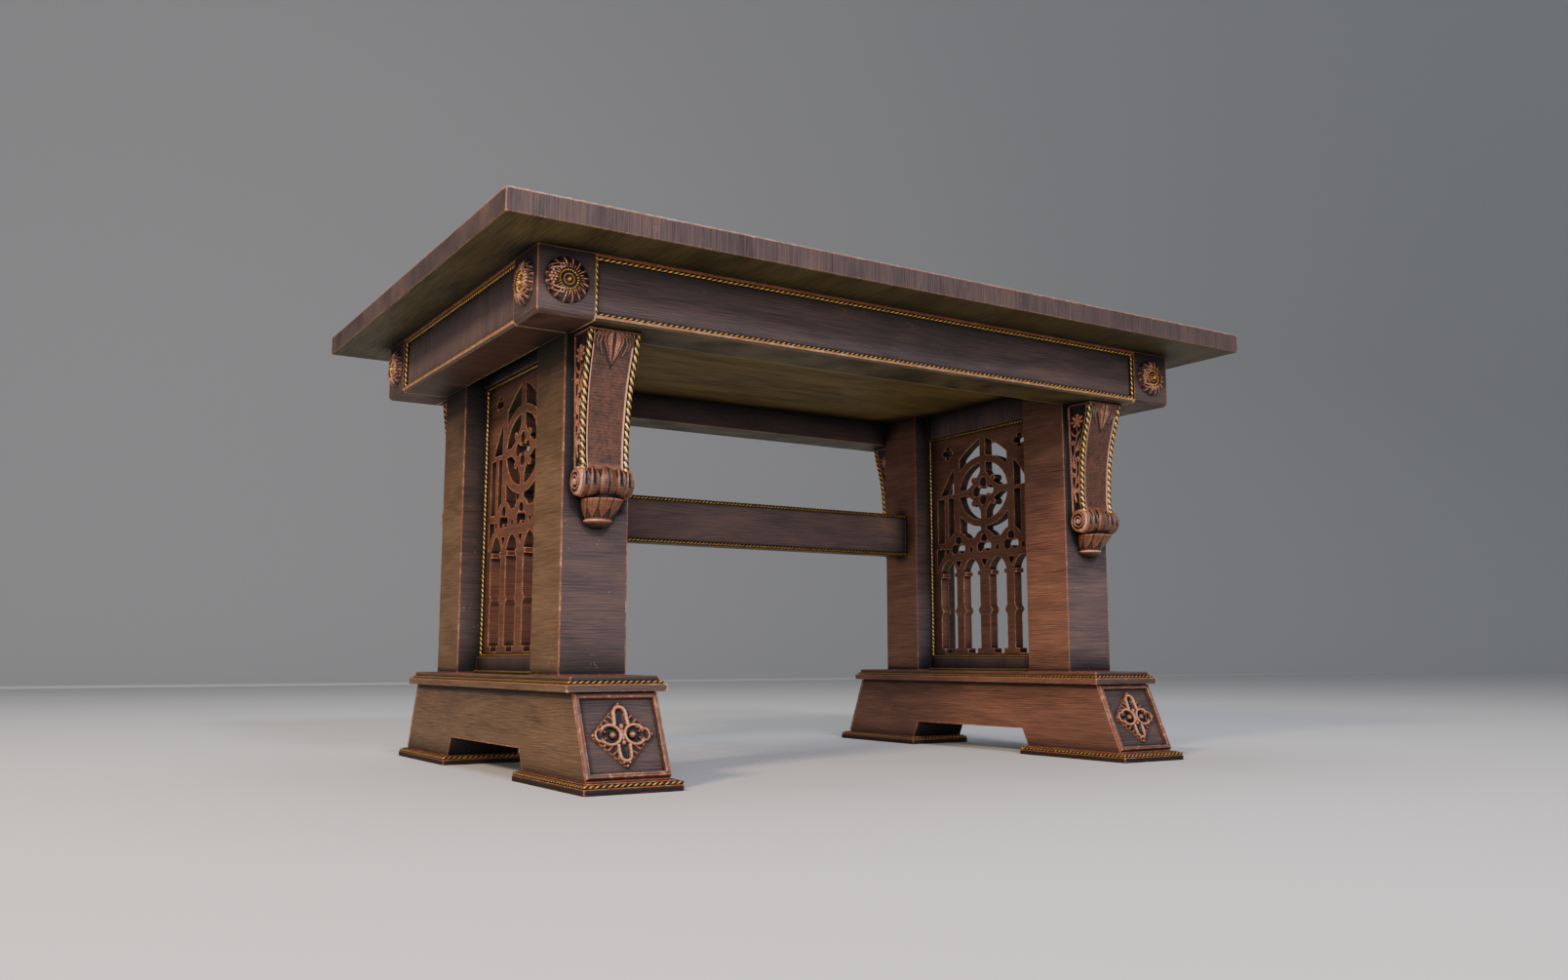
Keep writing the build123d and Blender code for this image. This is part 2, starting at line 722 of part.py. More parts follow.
def side_lights():
    """Tall slots beside the mullions and the low slots beside the outer lancets."""
    with BuildSketch() as shape:
        for side in (-1, 1):
            with Locations((side * 138, (432 + TRANSOM_LOW) / 2)):
                Rectangle(24, TRANSOM_LOW - 432)
            with Locations((side * 104.5, (436 + TRANSOM_LOW) / 2)):
                Rectangle(19, TRANSOM_LOW - 436)
        with Locations([(y, HOOD_Z) for y in TREFOILS]):
            Circle(HOOD_R, mode=Mode.SUBTRACT)
        for side in (-1, 1):
            with BuildLine():
                Polyline((side * 128, 419), (side * 154, 419), (side * 154, 370), (side * 151, 370))
                ThreePointArc((side * 151, 370), (side * 146, 388), (side * 128, 402))
                Line((side * 128, 402), (side * 128, 419))
            make_face()
    return shape.sketch


def ring_lights():
    """Four petal openings between the ring and the cusped lozenge."""
    with BuildSketch() as lozenge:
        with BuildLine():
            for a, b in ((1, 1), (-1, 1), (-1, -1), (1, -1)):
                tip_v = (0, RING_Z + b * 58)
                tip_u = (a * 72, RING_Z)
                middle = (a * 27, RING_Z + b * 22)
                if a * b > 0:
                    ThreePointArc(tip_u, middle, tip_v)
                else:
                    ThreePointArc(tip_v, middle, tip_u)
        make_face()
        with Locations([(a * 31, RING_Z + b * 25) for a in (-1, 1) for b in (-1, 1)]):
            Circle(6.5)
    with BuildSketch() as shape:
        with Locations((0, RING_Z)):
            Ellipse(*RING_INNER)
        add(lozenge.sketch, mode=Mode.SUBTRACT)
        with Locations((0, RING_Z)):
            Rectangle(2 * BAR_HALF, 200, mode=Mode.SUBTRACT)
            Rectangle(200, 14, mode=Mode.SUBTRACT)
    return shape.sketch


TREFOIL_Z = 421.5
TREFOIL_R = 10.4
TREFOIL_CORE = 14.0
HOOD_V = (10.0, 390.5, 373.5)
PIERCINGS_Y = (-119.0, -41.0, 41.0, 119.0)
PIERCING_Z = 413.0
PIERCING = 9.0
QUATREFOIL_R = 11.2
QUATREFOIL_CORE = 26.0
SMALL_FOIL_Y = 114.0
SMALL_FOIL_Z = 629.0
SMALL_FOIL_R = 7.0
QUATREFOIL = [(21.5, 0), (-21.5, 0), (0, 18.5), (0, -18.5)]
TREFOIL = [(0, 12.5), (11.7, -5), (-11.7, -5)]
SMALL_FOIL = [(10.5, 0), (-10.5, 0), (0, 8), (0, -8)]

with BuildSketch() as fretwork:
    with Locations((0, (FRET_LOW + FRET_HIGH) / 2)):
        Rectangle(2 * LEG_INNER_Y, FRET_HIGH - FRET_LOW)
    for y in LANCETS:
        add(lancet(y), mode=Mode.SUBTRACT)
    for y in TREFOILS:
        add(foils(y, TREFOIL_Z, TREFOIL, TREFOIL_R, TREFOIL_CORE), mode=Mode.SUBTRACT)
        half, upper, lower = HOOD_V
        with BuildLine():
            Polyline((y - half, upper), (y + half, upper), (y, lower), (y - half, upper))
        make_face(mode=Mode.SUBTRACT)
    with Locations([(y, PIERCING_Z) for y in PIERCINGS_Y]):
        Rectangle(PIERCING, PIERCING, mode=Mode.SUBTRACT)
    add(head_lights(), mode=Mode.SUBTRACT)
    add(spandrel_lights(), mode=Mode.SUBTRACT)
    add(lower_lights(), mode=Mode.SUBTRACT)
    add(side_lights(), mode=Mode.SUBTRACT)
    add(ring_lights(), mode=Mode.SUBTRACT)
    add(foils(0, RING_Z, QUATREFOIL, QUATREFOIL_R, QUATREFOIL_CORE), mode=Mode.SUBTRACT)
    for y in (-SMALL_FOIL_Y, SMALL_FOIL_Y):
        add(foils(y, SMALL_FOIL_Z, SMALL_FOIL, SMALL_FOIL_R, TREFOIL_CORE), mode=Mode.SUBTRACT)

with BuildPart() as tracery:
    with BuildSketch(Plane.YZ.offset(END_X)):
        add(fretwork.sketch)
    extrude(amount=FRET_THICK / 2, both=True)
save("tracery_panel_right", tracery.part)
save("tracery_panel_left", tracery.part.mirror(Plane.YZ))


def cross_rail(low, high, name):
    """A rail between the legs of one end, above or below the fretwork."""
    with BuildPart() as rail:
        box(
            END_X - RAIL_THICK / 2,
            END_X + RAIL_THICK / 2,
            -LEG_INNER_Y,
            LEG_INNER_Y,
            low,
            high,
        )
        chamfer(rail.edges().filter_by(Axis.Y), RAIL_ARRIS)
    save(f"{name}_right", rail.part)
    save(f"{name}_left", rail.part.mirror(Plane.YZ))


cross_rail(PLATE_HIGH, FRET_LOW, "tracery_bottom_rail")
cross_rail(FRET_HIGH, SOFFIT_LOW, "tracery_top_rail")

tracery_ropes = []
for side in SIDES.values():
    for face in (-1, 1):
        x = side * (END_X + face * (FRET_THICK / 2 + ROPE_R))
        low = FRET_LOW + ROPE_R
        high = FRET_HIGH - ROPE_R
        for z in (low, high):
            tracery_ropes.append(rod((x, -LEG_INNER_Y, z), (x, LEG_INNER_Y, z), ROPE_R))
        for edge in (-1, 1):
            y = edge * (LEG_INNER_Y - ROPE_R)
            tracery_ropes.append(rod((x, y, low + ROPE_R), (x, y, high - ROPE_R), ROPE_R))
        x = side * (END_X + face * (RAIL_THICK / 2 + ROPE_R))
        z = PLATE_HIGH + ROPE_R
        tracery_ropes.append(rod((x, -LEG_INNER_Y, z), (x, LEG_INNER_Y, z), ROPE_R))
save("tracery_rope_beads", Compound(children=tracery_ropes))


# ---------------------------------------------------------------- feet

ARRIS = 1.0
PLATE_TOP_ARRIS = 1.5

with BuildPart() as base_plate:
    with Locations((END_X, 0, (PLATE_LOW + PLATE_STEP) / 2)):
        Box(2 * PLATE_HALF_WIDTH, 2 * PLATE_HALF_DEPTH, PLATE_STEP - PLATE_LOW)
    with Locations((END_X, 0, (PLATE_STEP + PLATE_HIGH) / 2)):
        Box(
            2 * (PLATE_HALF_WIDTH - PLATE_INSET),
            2 * (PLATE_HALF_DEPTH - PLATE_INSET),
            PLATE_HIGH - PLATE_STEP,
        )
    chamfer(base_plate.edges().group_by(Axis.Z)[0], ARRIS)
    chamfer(base_plate.edges().group_by(Axis.Z)[-1], PLATE_TOP_ARRIS)
    with Locations([(END_X, y, PLATE_LOW) for y in (-LEG_Y, LEG_Y)]):
        Box(LEG_TENON, LEG_TENON, 2 * (PLATE_HIGH - PLATE_LOW), mode=Mode.SUBTRACT)
save("base_plate_right", base_plate.part)
save("base_plate_left", base_plate.part.mirror(Plane.YZ))

plate_ropes = []
for side in SIDES.values():
    half_x = PLATE_HALF_WIDTH - PLATE_INSET + PLATE_ROPE_R
    half_y = PLATE_HALF_DEPTH - PLATE_INSET + PLATE_ROPE_R
    z = PLATE_STEP + PLATE_ROPE_R
    plate_ropes += ring_of_rods(half_x, half_y, z, PLATE_ROPE_R, x=side * END_X)
save("base_plate_rope_beads", Compound(children=plate_ropes))

BATTER_LENGTH = hypot(SLEDGE_FOOT_Y - SLEDGE_TOP_Y, PLATE_LOW - SLEDGE_LOW)
SET_BACK_Y = PANEL_SET_BACK * BATTER_LENGTH / (PLATE_LOW - SLEDGE_LOW)
sledge_outline = [
    (SLEDGE_TOP_Y - SET_BACK_Y, PLATE_LOW),
    (SLEDGE_FOOT_Y - SET_BACK_Y, SLEDGE_LOW),
    (ARCH_FOOT_Y, SLEDGE_LOW),
    (ARCH_TOP_Y, ARCH_TOP),
]

with BuildPart() as sledge:
    with BuildSketch(Plane.YZ.offset(END_X)):
        Polygon(
            *sledge_outline,
            *[(-y, z) for y, z in reversed(sledge_outline)],
            align=None,
        )
    extrude(amount=SLEDGE_HALF_WIDTH, both=True)
    tenon_foot = PLATE_HIGH - LEG_TENON_DROP
    for y in (-LEG_Y, LEG_Y):
        box(
            END_X - LEG_TENON / 2,
            END_X + LEG_TENON / 2,
            y - LEG_TENON / 2,
            y + LEG_TENON / 2,
            tenon_foot,
            PLATE_LOW,
            mode=Mode.SUBTRACT,
        )
save("sledge_right", sledge.part)
save("sledge_left", sledge.part.mirror(Plane.YZ))

pad_mid = (PAD_INNER_Y + PAD_OUTER_Y) / 2
pad_half = (PAD_OUTER_Y - PAD_INNER_Y) / 2
with BuildPart() as foot_pad:
    with Locations((END_X, pad_mid, PAD_STEP / 2)):
        Box(2 * PAD_HALF_WIDTH, 2 * pad_half, PAD_STEP)
    with Locations((END_X, pad_mid, (PAD_STEP + SLEDGE_LOW) / 2)):
        Box(2 * (PAD_HALF_WIDTH - PAD_INSET), 2 * (pad_half - PAD_INSET), SLEDGE_LOW - PAD_STEP)
    chamfer(foot_pad.edges().group_by(Axis.Z)[0], ARRIS)
four_corners(foot_pad.part, "foot_pad")

pad_ropes = []
for side in SIDES.values():
    for face in FACES.values():
        pad_ropes += ring_of_rods(
            PAD_HALF_WIDTH - PAD_INSET + ROPE_R,
            pad_half - PAD_INSET + ROPE_R,
            PAD_STEP + ROPE_R,
            ROPE_R,
            x=side * END_X,
            y=face * pad_mid,
        )
save("foot_pad_rope_beads", Compound(children=pad_ropes))

# The battered end face of the back-right foot, before the frame is laid on it
mid_y = (SLEDGE_TOP_Y + SLEDGE_FOOT_Y) / 2 - SET_BACK_Y
mid_z = (PLATE_LOW + SLEDGE_LOW) / 2
run_y = SLEDGE_FOOT_Y - SLEDGE_TOP_Y
run_z = PLATE_LOW - SLEDGE_LOW
END_FACE = Plane(origin=(END_X, mid_y, mid_z), x_dir=(-1, 0, 0), z_dir=(0, run_z, run_y))
FRAME_WIDTH = 7.6
FRAME_HEIGHT = 6.0
FRAME_ARRIS = 1.6
FRAME_GAP = 3.2
FRAME_HALF_LENGTH = BATTER_LENGTH / 2 - FRAME_GAP

with BuildPart() as end_panel_frame:
    with BuildSketch(END_FACE):
        Rectangle(2 * SLEDGE_HALF_WIDTH, 2 * FRAME_HALF_LENGTH)
        Rectangle(
            2 * (SLEDGE_HALF_WIDTH - FRAME_WIDTH),
            2 * (FRAME_HALF_LENGTH - FRAME_WIDTH),
            mode=Mode.SUBTRACT,
        )
    extrude(amount=FRAME_HEIGHT)
    top_face = end_panel_frame.faces().sort_by(Axis(END_FACE.origin, END_FACE.z_dir))[-1]
    chamfer(top_face.edges(), FRAME_ARRIS)
four_corners(end_panel_frame.part, "end_panel_frame")

ORNAMENT_HALF = 49.0
ORNAMENT_THICK = 6.0
ORNAMENT_CORNER = 5.0
LOOP_V = 24.0
LOOP_SLOT = (11.0, 9.0)
EYE_U = 14.5
EYE_R = 9.5
PUPIL_R = 5.0
BAR_U = 8.5
BAR_SIZE = (8.0, 3.0)
TIP_U = 33.0
TIP_SLOT = (4.0, 4.5)
BEAD_R = 4.5

with BuildPart() as diamond_ornament:
    with BuildSketch(END_FACE) as carving:
        Polygon(
            (ORNAMENT_HALF, 0),
            (0, ORNAMENT_HALF),
            (-ORNAMENT_HALF, 0),
            (0, -ORNAMENT_HALF),
            align=None,
        )
        fillet(carving.vertices(), ORNAMENT_CORNER)
        with Locations((0, LOOP_V), (0, -LOOP_V)):
            SlotCenterToCenter(*LOOP_SLOT, rotation=90, mode=Mode.SUBTRACT)
        for side in (-1, 1):
            with Locations((side * EYE_U, 0)):
                Circle(EYE_R, mode=Mode.SUBTRACT)
                Circle(PUPIL_R)
            with Locations((side * BAR_U, 0)):
                Rectangle(*BAR_SIZE)
            with Locations((side * TIP_U, 0)):
                SlotCenterToCenter(*TIP_SLOT, rotation=90, mode=Mode.SUBTRACT)
    extrude(amount=ORNAMENT_THICK)
    with Locations(END_FACE.offset(ORNAMENT_THICK)):
        Sphere(BEAD_R)
four_corners(diamond_ornament.part, "diamond_ornament")
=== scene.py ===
"""Looks for a carved communion table: dark polished hardwood rubbed to copper on its
arrises, gilt rope beads, rosettes, scrolled brackets and pierced foot ornaments.

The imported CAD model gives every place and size. Lengths below are millimetres unless
a name says otherwise, and become metres only when a piece is made.
"""
import bmesh
import bpy
import numpy as np
from math import cos, pi, radians, sin
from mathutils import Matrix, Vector


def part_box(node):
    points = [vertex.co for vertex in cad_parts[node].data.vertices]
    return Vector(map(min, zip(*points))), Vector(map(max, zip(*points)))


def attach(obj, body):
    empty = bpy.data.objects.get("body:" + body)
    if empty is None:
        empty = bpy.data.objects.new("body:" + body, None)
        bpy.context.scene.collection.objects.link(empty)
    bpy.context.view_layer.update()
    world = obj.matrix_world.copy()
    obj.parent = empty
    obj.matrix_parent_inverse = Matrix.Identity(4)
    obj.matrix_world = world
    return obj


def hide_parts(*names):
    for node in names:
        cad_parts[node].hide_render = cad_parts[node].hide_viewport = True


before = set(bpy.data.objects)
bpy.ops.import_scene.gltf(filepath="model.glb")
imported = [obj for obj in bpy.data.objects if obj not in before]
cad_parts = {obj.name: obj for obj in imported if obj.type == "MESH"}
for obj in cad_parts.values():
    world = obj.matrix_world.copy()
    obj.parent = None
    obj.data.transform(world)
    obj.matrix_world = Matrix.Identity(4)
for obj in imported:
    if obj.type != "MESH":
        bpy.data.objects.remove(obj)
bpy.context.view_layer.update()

MM = 0.001
FACES = {"front": -1, "back": 1}
SIDES = {"left": -1, "right": 1}


def corners(node):
    """Lowest and highest corner of a CAD node, in millimetres."""
    low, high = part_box(node)
    return np.array(low) / MM, np.array(high) / MM


# ------------------------------------------------------------------ camera, floor, light

def make_camera():
    """A low three-quarter view from the front left."""
    data = bpy.data.cameras.new("camera")
    data.lens = 29.29
    data.sensor_width = 36.0
    data.clip_end = 60.0
    camera = bpy.data.objects.new("camera", data)
    bpy.context.collection.objects.link(camera)
    camera.location = (-1.2903, -2.035, 0.1825)
    camera.rotation_euler = (radians(97.522), 0, radians(-32.427))
    bpy.context.scene.camera = camera


def make_lamp(name, place, aim, size, watts, colour):
    """One square soft box at a place, turned to face a point."""
    data = bpy.data.lights.new(name, "AREA")
    data.size = size
    data.energy = watts
    data.color = colour
    lamp = bpy.data.objects.new(name, data)
    bpy.context.collection.objects.link(lamp)
    lamp.location = place
    lamp.rotation_euler = (Vector(aim) - Vector(place)).to_track_quat("-Z", "Y").to_euler()


def make_studio():
    """A pale floor that curves up into a pale wall, a grey sky and four soft boxes."""
    across = np.linspace(-45, 45, 3)
    turn = np.linspace(0, pi / 2, 24)
    depth = np.concatenate([[-16.0, 7.0], 7 + 6 * np.sin(turn), [13.0]])
    height = np.concatenate([[0.0, 0.0], 6 - 6 * np.cos(turn), [26.0]])
    rows = np.zeros((len(depth), len(across), 3))
    rows[..., 0] = across[None, :]
    rows[..., 1] = depth[:, None]
    rows[..., 2] = height[:, None]
    mesh = bpy.data.meshes.new("studio_floor")
    faces = grid_faces(*rows.shape[:2])
    mesh.from_pydata(rows.reshape(-1, 3).tolist(), [], faces.tolist())
    mesh.shade_smooth()
    floor = bpy.data.objects.new("studio_floor", mesh)
    bpy.context.collection.objects.link(floor)
    material, _, shader = new_material("pale_floor")
    shader.inputs["Base Color"].default_value = (0.58, 0.58, 0.57, 1)
    shader.inputs["Roughness"].default_value = 0.85
    mesh.materials.append(material)
    world = bpy.data.worlds.new("sky")
    world.use_nodes = True
    world.node_tree.nodes["Background"].inputs["Color"].default_value = (0.80, 0.84, 0.92, 1)
    world.node_tree.nodes["Background"].inputs["Strength"].default_value = 0.35
    bpy.context.scene.world = world
    make_lamp("key_front", (-0.9, -5.3, 3.7), (0, 0, 0.4), 0.8, 270, (0.82, 0.83, 1.0))
    make_lamp("warm_left", (-4.5, -2.3, 3.1), (0, 0, 0.4), 0.8, 280, (1.0, 0.76, 0.56))
    make_lamp("low_fill", (-2.6, -4.4, 0.9), (0.3, 0, 0.4), 1.6, 115, (1.0, 0.95, 0.92))
    make_lamp("top_soft", (0.0, 1.0, 4.5), (0, 0, 0.5), 3.0, 80, (0.9, 0.95, 1.0))


# ------------------------------------------------------------------ meshes

def grid_faces(rows, columns, wrap_rows=False, wrap_columns=False):
    """Four-sided faces of a grid of points, row by row, wrapping round where asked."""
    r = np.arange(rows if wrap_rows else rows - 1)
    c = np.arange(columns if wrap_columns else columns - 1)
    r, c = np.meshgrid(r, c, indexing="ij")
    below, beside = (r + 1) % rows, (c + 1) % columns
    quads = [r * columns + c, below * columns + c, below * columns + beside, r * columns + beside]
    return np.stack(quads, -1).reshape(-1, 4)


class Skin:
    """A grid of points with one mark per point, and flat lids over open rows if asked."""

    def __init__(self, points, mark=0.5, wrap_rows=False, wrap_columns=False, lids=False):
        self.points = points
        rows, columns = points.shape[:2]
        self.mark = np.broadcast_to(mark, (rows, columns))
        self.faces = grid_faces(rows, columns, wrap_rows, wrap_columns).tolist()
        if lids:
            self.faces.append(list(range(columns)))
            self.close_last_row()

    def close_last_row(self):
        """A flat face across the last row of points."""
        rows, columns = self.points.shape[:2]
        self.faces.append(list(range((rows - 1) * columns, rows * columns))[::-1])

    def placed(self, place):
        """The same skin with its points passed through a function."""
        other = Skin.__new__(Skin)
        other.points, other.mark, other.faces = place(self.points), self.mark, self.faces
        return other


def make_piece(name, skins, material, replaced):
    """Join skins into one object, close doubled points, face it outwards and hang it on root."""
    points, marks, faces, start = [], [], [], 0
    for skin in skins:
        points.append(skin.points.reshape(-1, 3))
        marks.append(skin.mark.reshape(-1))
        faces += [[start + k for k in face] for face in skin.faces]
        start += len(points[-1])
    mesh = bpy.data.meshes.new(name)
    mesh.from_pydata((np.concatenate(points) * MM).tolist(), [], faces)
    mark = mesh.attributes.new("mark", "FLOAT", "POINT")
    mark.data.foreach_set("value", np.concatenate(marks).astype(np.float32))
    work = bmesh.new()
    work.from_mesh(mesh)
    bmesh.ops.remove_doubles(work, verts=work.verts, dist=2e-6)
    bmesh.ops.dissolve_degenerate(work, edges=work.edges, dist=1e-6)
    bmesh.ops.recalc_face_normals(work, faces=work.faces)
    work.to_mesh(mesh)
    work.free()
    mesh.shade_smooth()
    mesh.materials.append(material)
    piece = bpy.data.objects.new(name, mesh)
    bpy.context.collection.objects.link(piece)
    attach(piece, "root")
    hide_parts(*replaced)
    return piece


def full_turn(count):
    """Evenly spaced angles once round, without the last one that would meet the first."""
    return np.linspace(0, 2 * pi, count, endpoint=False)


def smooth_step(low, high, value):
    """Nought below low, one above high, and an even S between."""
    t = np.clip((value - low) / (high - low), 0, 1)
    return t * t * (3 - 2 * t)


def dome(distance, reach, height):
    """A round hump: height times the root of one less the squared distance over reach."""
    t = np.clip(distance / reach, 0, 1)
    return height * np.sqrt(1 - t * t)


def stroke(a, b, points, wide, high, thin=1.0):
    """Height of a carved strand along a line of points: at each point of the grid the
    nearest segment gives a distance, and the hump over that distance is the height. Width
    and height shrink evenly to thin times their start along the line."""
    out = np.zeros_like(a)
    points = np.asarray(points, float)
    count = len(points) - 1
    for k in range(count):
        (x0, y0), (x1, y1) = points[k], points[k + 1]
        dx, dy = x1 - x0, y1 - y0
        t = np.clip(((a - x0) * dx + (b - y0) * dy) / (dx * dx + dy * dy), 0, 1)
        size = 1 + (thin - 1) * (k + t) / count
        gap = np.hypot(a - x0 - t * dx, b - y0 - t * dy)
        out = np.maximum(out, dome(gap, wide * size, high * (0.4 + 0.6 * size)))
    return out


def heap(*reliefs):
    """The highest of several reliefs at every point."""
    return np.maximum.reduce(reliefs)


def laid_over(height, mark, fresh, fresh_mark):
    """A fresh relief over an old one: wherever it is higher it shows, with its mark."""
    return np.maximum(height, fresh), np.where(fresh > height, fresh_mark, mark)


def arc(x, y, radius, start, stop, count=14, squash=1.0, shrink=1.0):
    """Points round a centre from one angle to another, in degrees, shrinking if asked."""
    turn = np.radians(np.linspace(start, stop, count))
    reach = radius * np.linspace(1, shrink, count)
    return np.stack([x + reach * np.cos(turn), y + squash * reach * np.sin(turn)], -1)


# ------------------------------------------------------------------ materials

def new_material(name):
    """A fresh material with its tree and its surface shader."""
    material = bpy.data.materials.new(name)
    material.use_nodes = True
    tree = material.node_tree
    return material, tree, tree.nodes["Principled BSDF"]


class Bench:
    """Short calls that lay nodes in one material's tree and hand back their outputs."""

    def __init__(self, tree):
        self.tree = tree
        self.place = self.add("ShaderNodeTexCoord").outputs["Object"]

    def add(self, kind, wires=None, **settings):
        """Lay one node, set its choices, and wire or set its inputs."""
        node = self.tree.nodes.new(kind)
        for key, value in settings.items():
            setattr(node, key, value)
        for key, value in (wires or {}).items():
            if isinstance(value, bpy.types.NodeSocket):
                self.tree.links.new(value, node.inputs[key])
            else:
                node.inputs[key].default_value = value
        return node

    def stretched(self, scale, shift=(0, 0, 0)):
        """Object coordinates stretched by a scale along each axis."""
        wires = {"Vector": self.place, "Scale": scale, "Location": shift}
        return self.add("ShaderNodeMapping", wires).outputs["Vector"]

    def noise(self, vector, scale=1.0, detail=4.0, rough=0.55, warp=0.0):
        """Cloudy noise from nought to one."""
        wires = {"Vector": vector, "Scale": scale, "Detail": detail, "Roughness": rough}
        wires["Distortion"] = warp
        return self.add("ShaderNodeTexNoise", wires).outputs["Fac"]

    def math(self, kind, a, b=0.0, clamp=False):
        """One arithmetic step."""
        wires = {0: a, 1: b}
        return self.add("ShaderNodeMath", wires, operation=kind, use_clamp=clamp).outputs[0]

    def plus(self, a, b):
        """The sum of two values."""
        return self.math("ADD", a, b)

    def times(self, a, b, clamp=False):
        """The product of two values, held between nought and one if asked."""
        return self.math("MULTIPLY", a, b, clamp)

    def less(self, a, b):
        """The first value less the second."""
        return self.math("SUBTRACT", a, b)

    def range(self, value, low, high, to_low=0.0, to_high=1.0):
        """Spread a value from one range to another, held at the ends."""
        wires = {"Value": value, "From Min": low, "From Max": high}
        wires.update({"To Min": to_low, "To Max": to_high})
        return self.add("ShaderNodeMapRange", wires).outputs["Result"]

    def ramp(self, value, stops):
        """A run of colours, given as (place, colour) stops."""
        node = self.add("ShaderNodeValToRGB", {"Fac": value})
        ramp = node.color_ramp
        ramp.elements[0].position, ramp.elements[0].color = stops[0][0], (*stops[0][1], 1)
        ramp.elements[1].position, ramp.elements[1].color = stops[-1][0], (*stops[-1][1], 1)
        for position, colour in stops[1:-1]:
            ramp.elements.new(position).color = (*colour, 1)
        return node.outputs["Color"]

    def mix(self, share, first, second, kind="MIX"):
        """Blend two colours by a share."""
        node = self.add("ShaderNodeMix", data_type="RGBA", blend_type=kind)
        for socket, value in ((0, share), (6, first), (7, second)):
            if isinstance(value, bpy.types.NodeSocket):
                self.tree.links.new(value, node.inputs[socket])
            elif socket == 0:
                node.inputs[0].default_value = value
            else:
                node.inputs[socket].default_value = (*value, 1)
        return node.outputs[2]

    def hollows(self, reach):
        """One in the open, falling to nought in corners closer than a reach in metres."""
        wires = {"Distance": reach}
        return self.add("ShaderNodeAmbientOcclusion", wires, samples=8).outputs["AO"]

    def arrises(self, reach):
        """Nought on flats, rising to one on outer edges, within a reach in metres."""
        wires = {"Distance": reach}
        node = self.add("ShaderNodeAmbientOcclusion", wires, samples=8, inside=True, only_local=True)
        return self.range(node.outputs["AO"], 0.93, 0.55)

    def bump(self, height, depth, strength=0.6):
        """A bumped normal from a height of so many metres."""
        wires = {"Height": height, "Distance": depth, "Strength": strength}
        return self.add("ShaderNodeBump", wires).outputs["Normal"]


# Blue-black painted into corners and hollows: painted shade, with some grime.
SHADE_AND_GRIME = (0.0030, 0.0042, 0.0052)
COPPER_DARK = (0.150, 0.046, 0.020)
COPPER = (0.300, 0.102, 0.052)
COPPER_PALE = (0.520, 0.290, 0.215)
PALE_LINE = (0.460, 0.330, 0.140)
SPECK = (0.30, 0.18, 0.12)
# Painted light for faces that look down: olive and moss stand for bounce light from the floor, SHADED
# for shade.
FLOOR_BOUNCE_OLIVE = (0.060, 0.046, 0.018)
FLOOR_BOUNCE_MOSS = (0.128, 0.090, 0.026)
SHADED = (0.062, 0.032, 0.019)


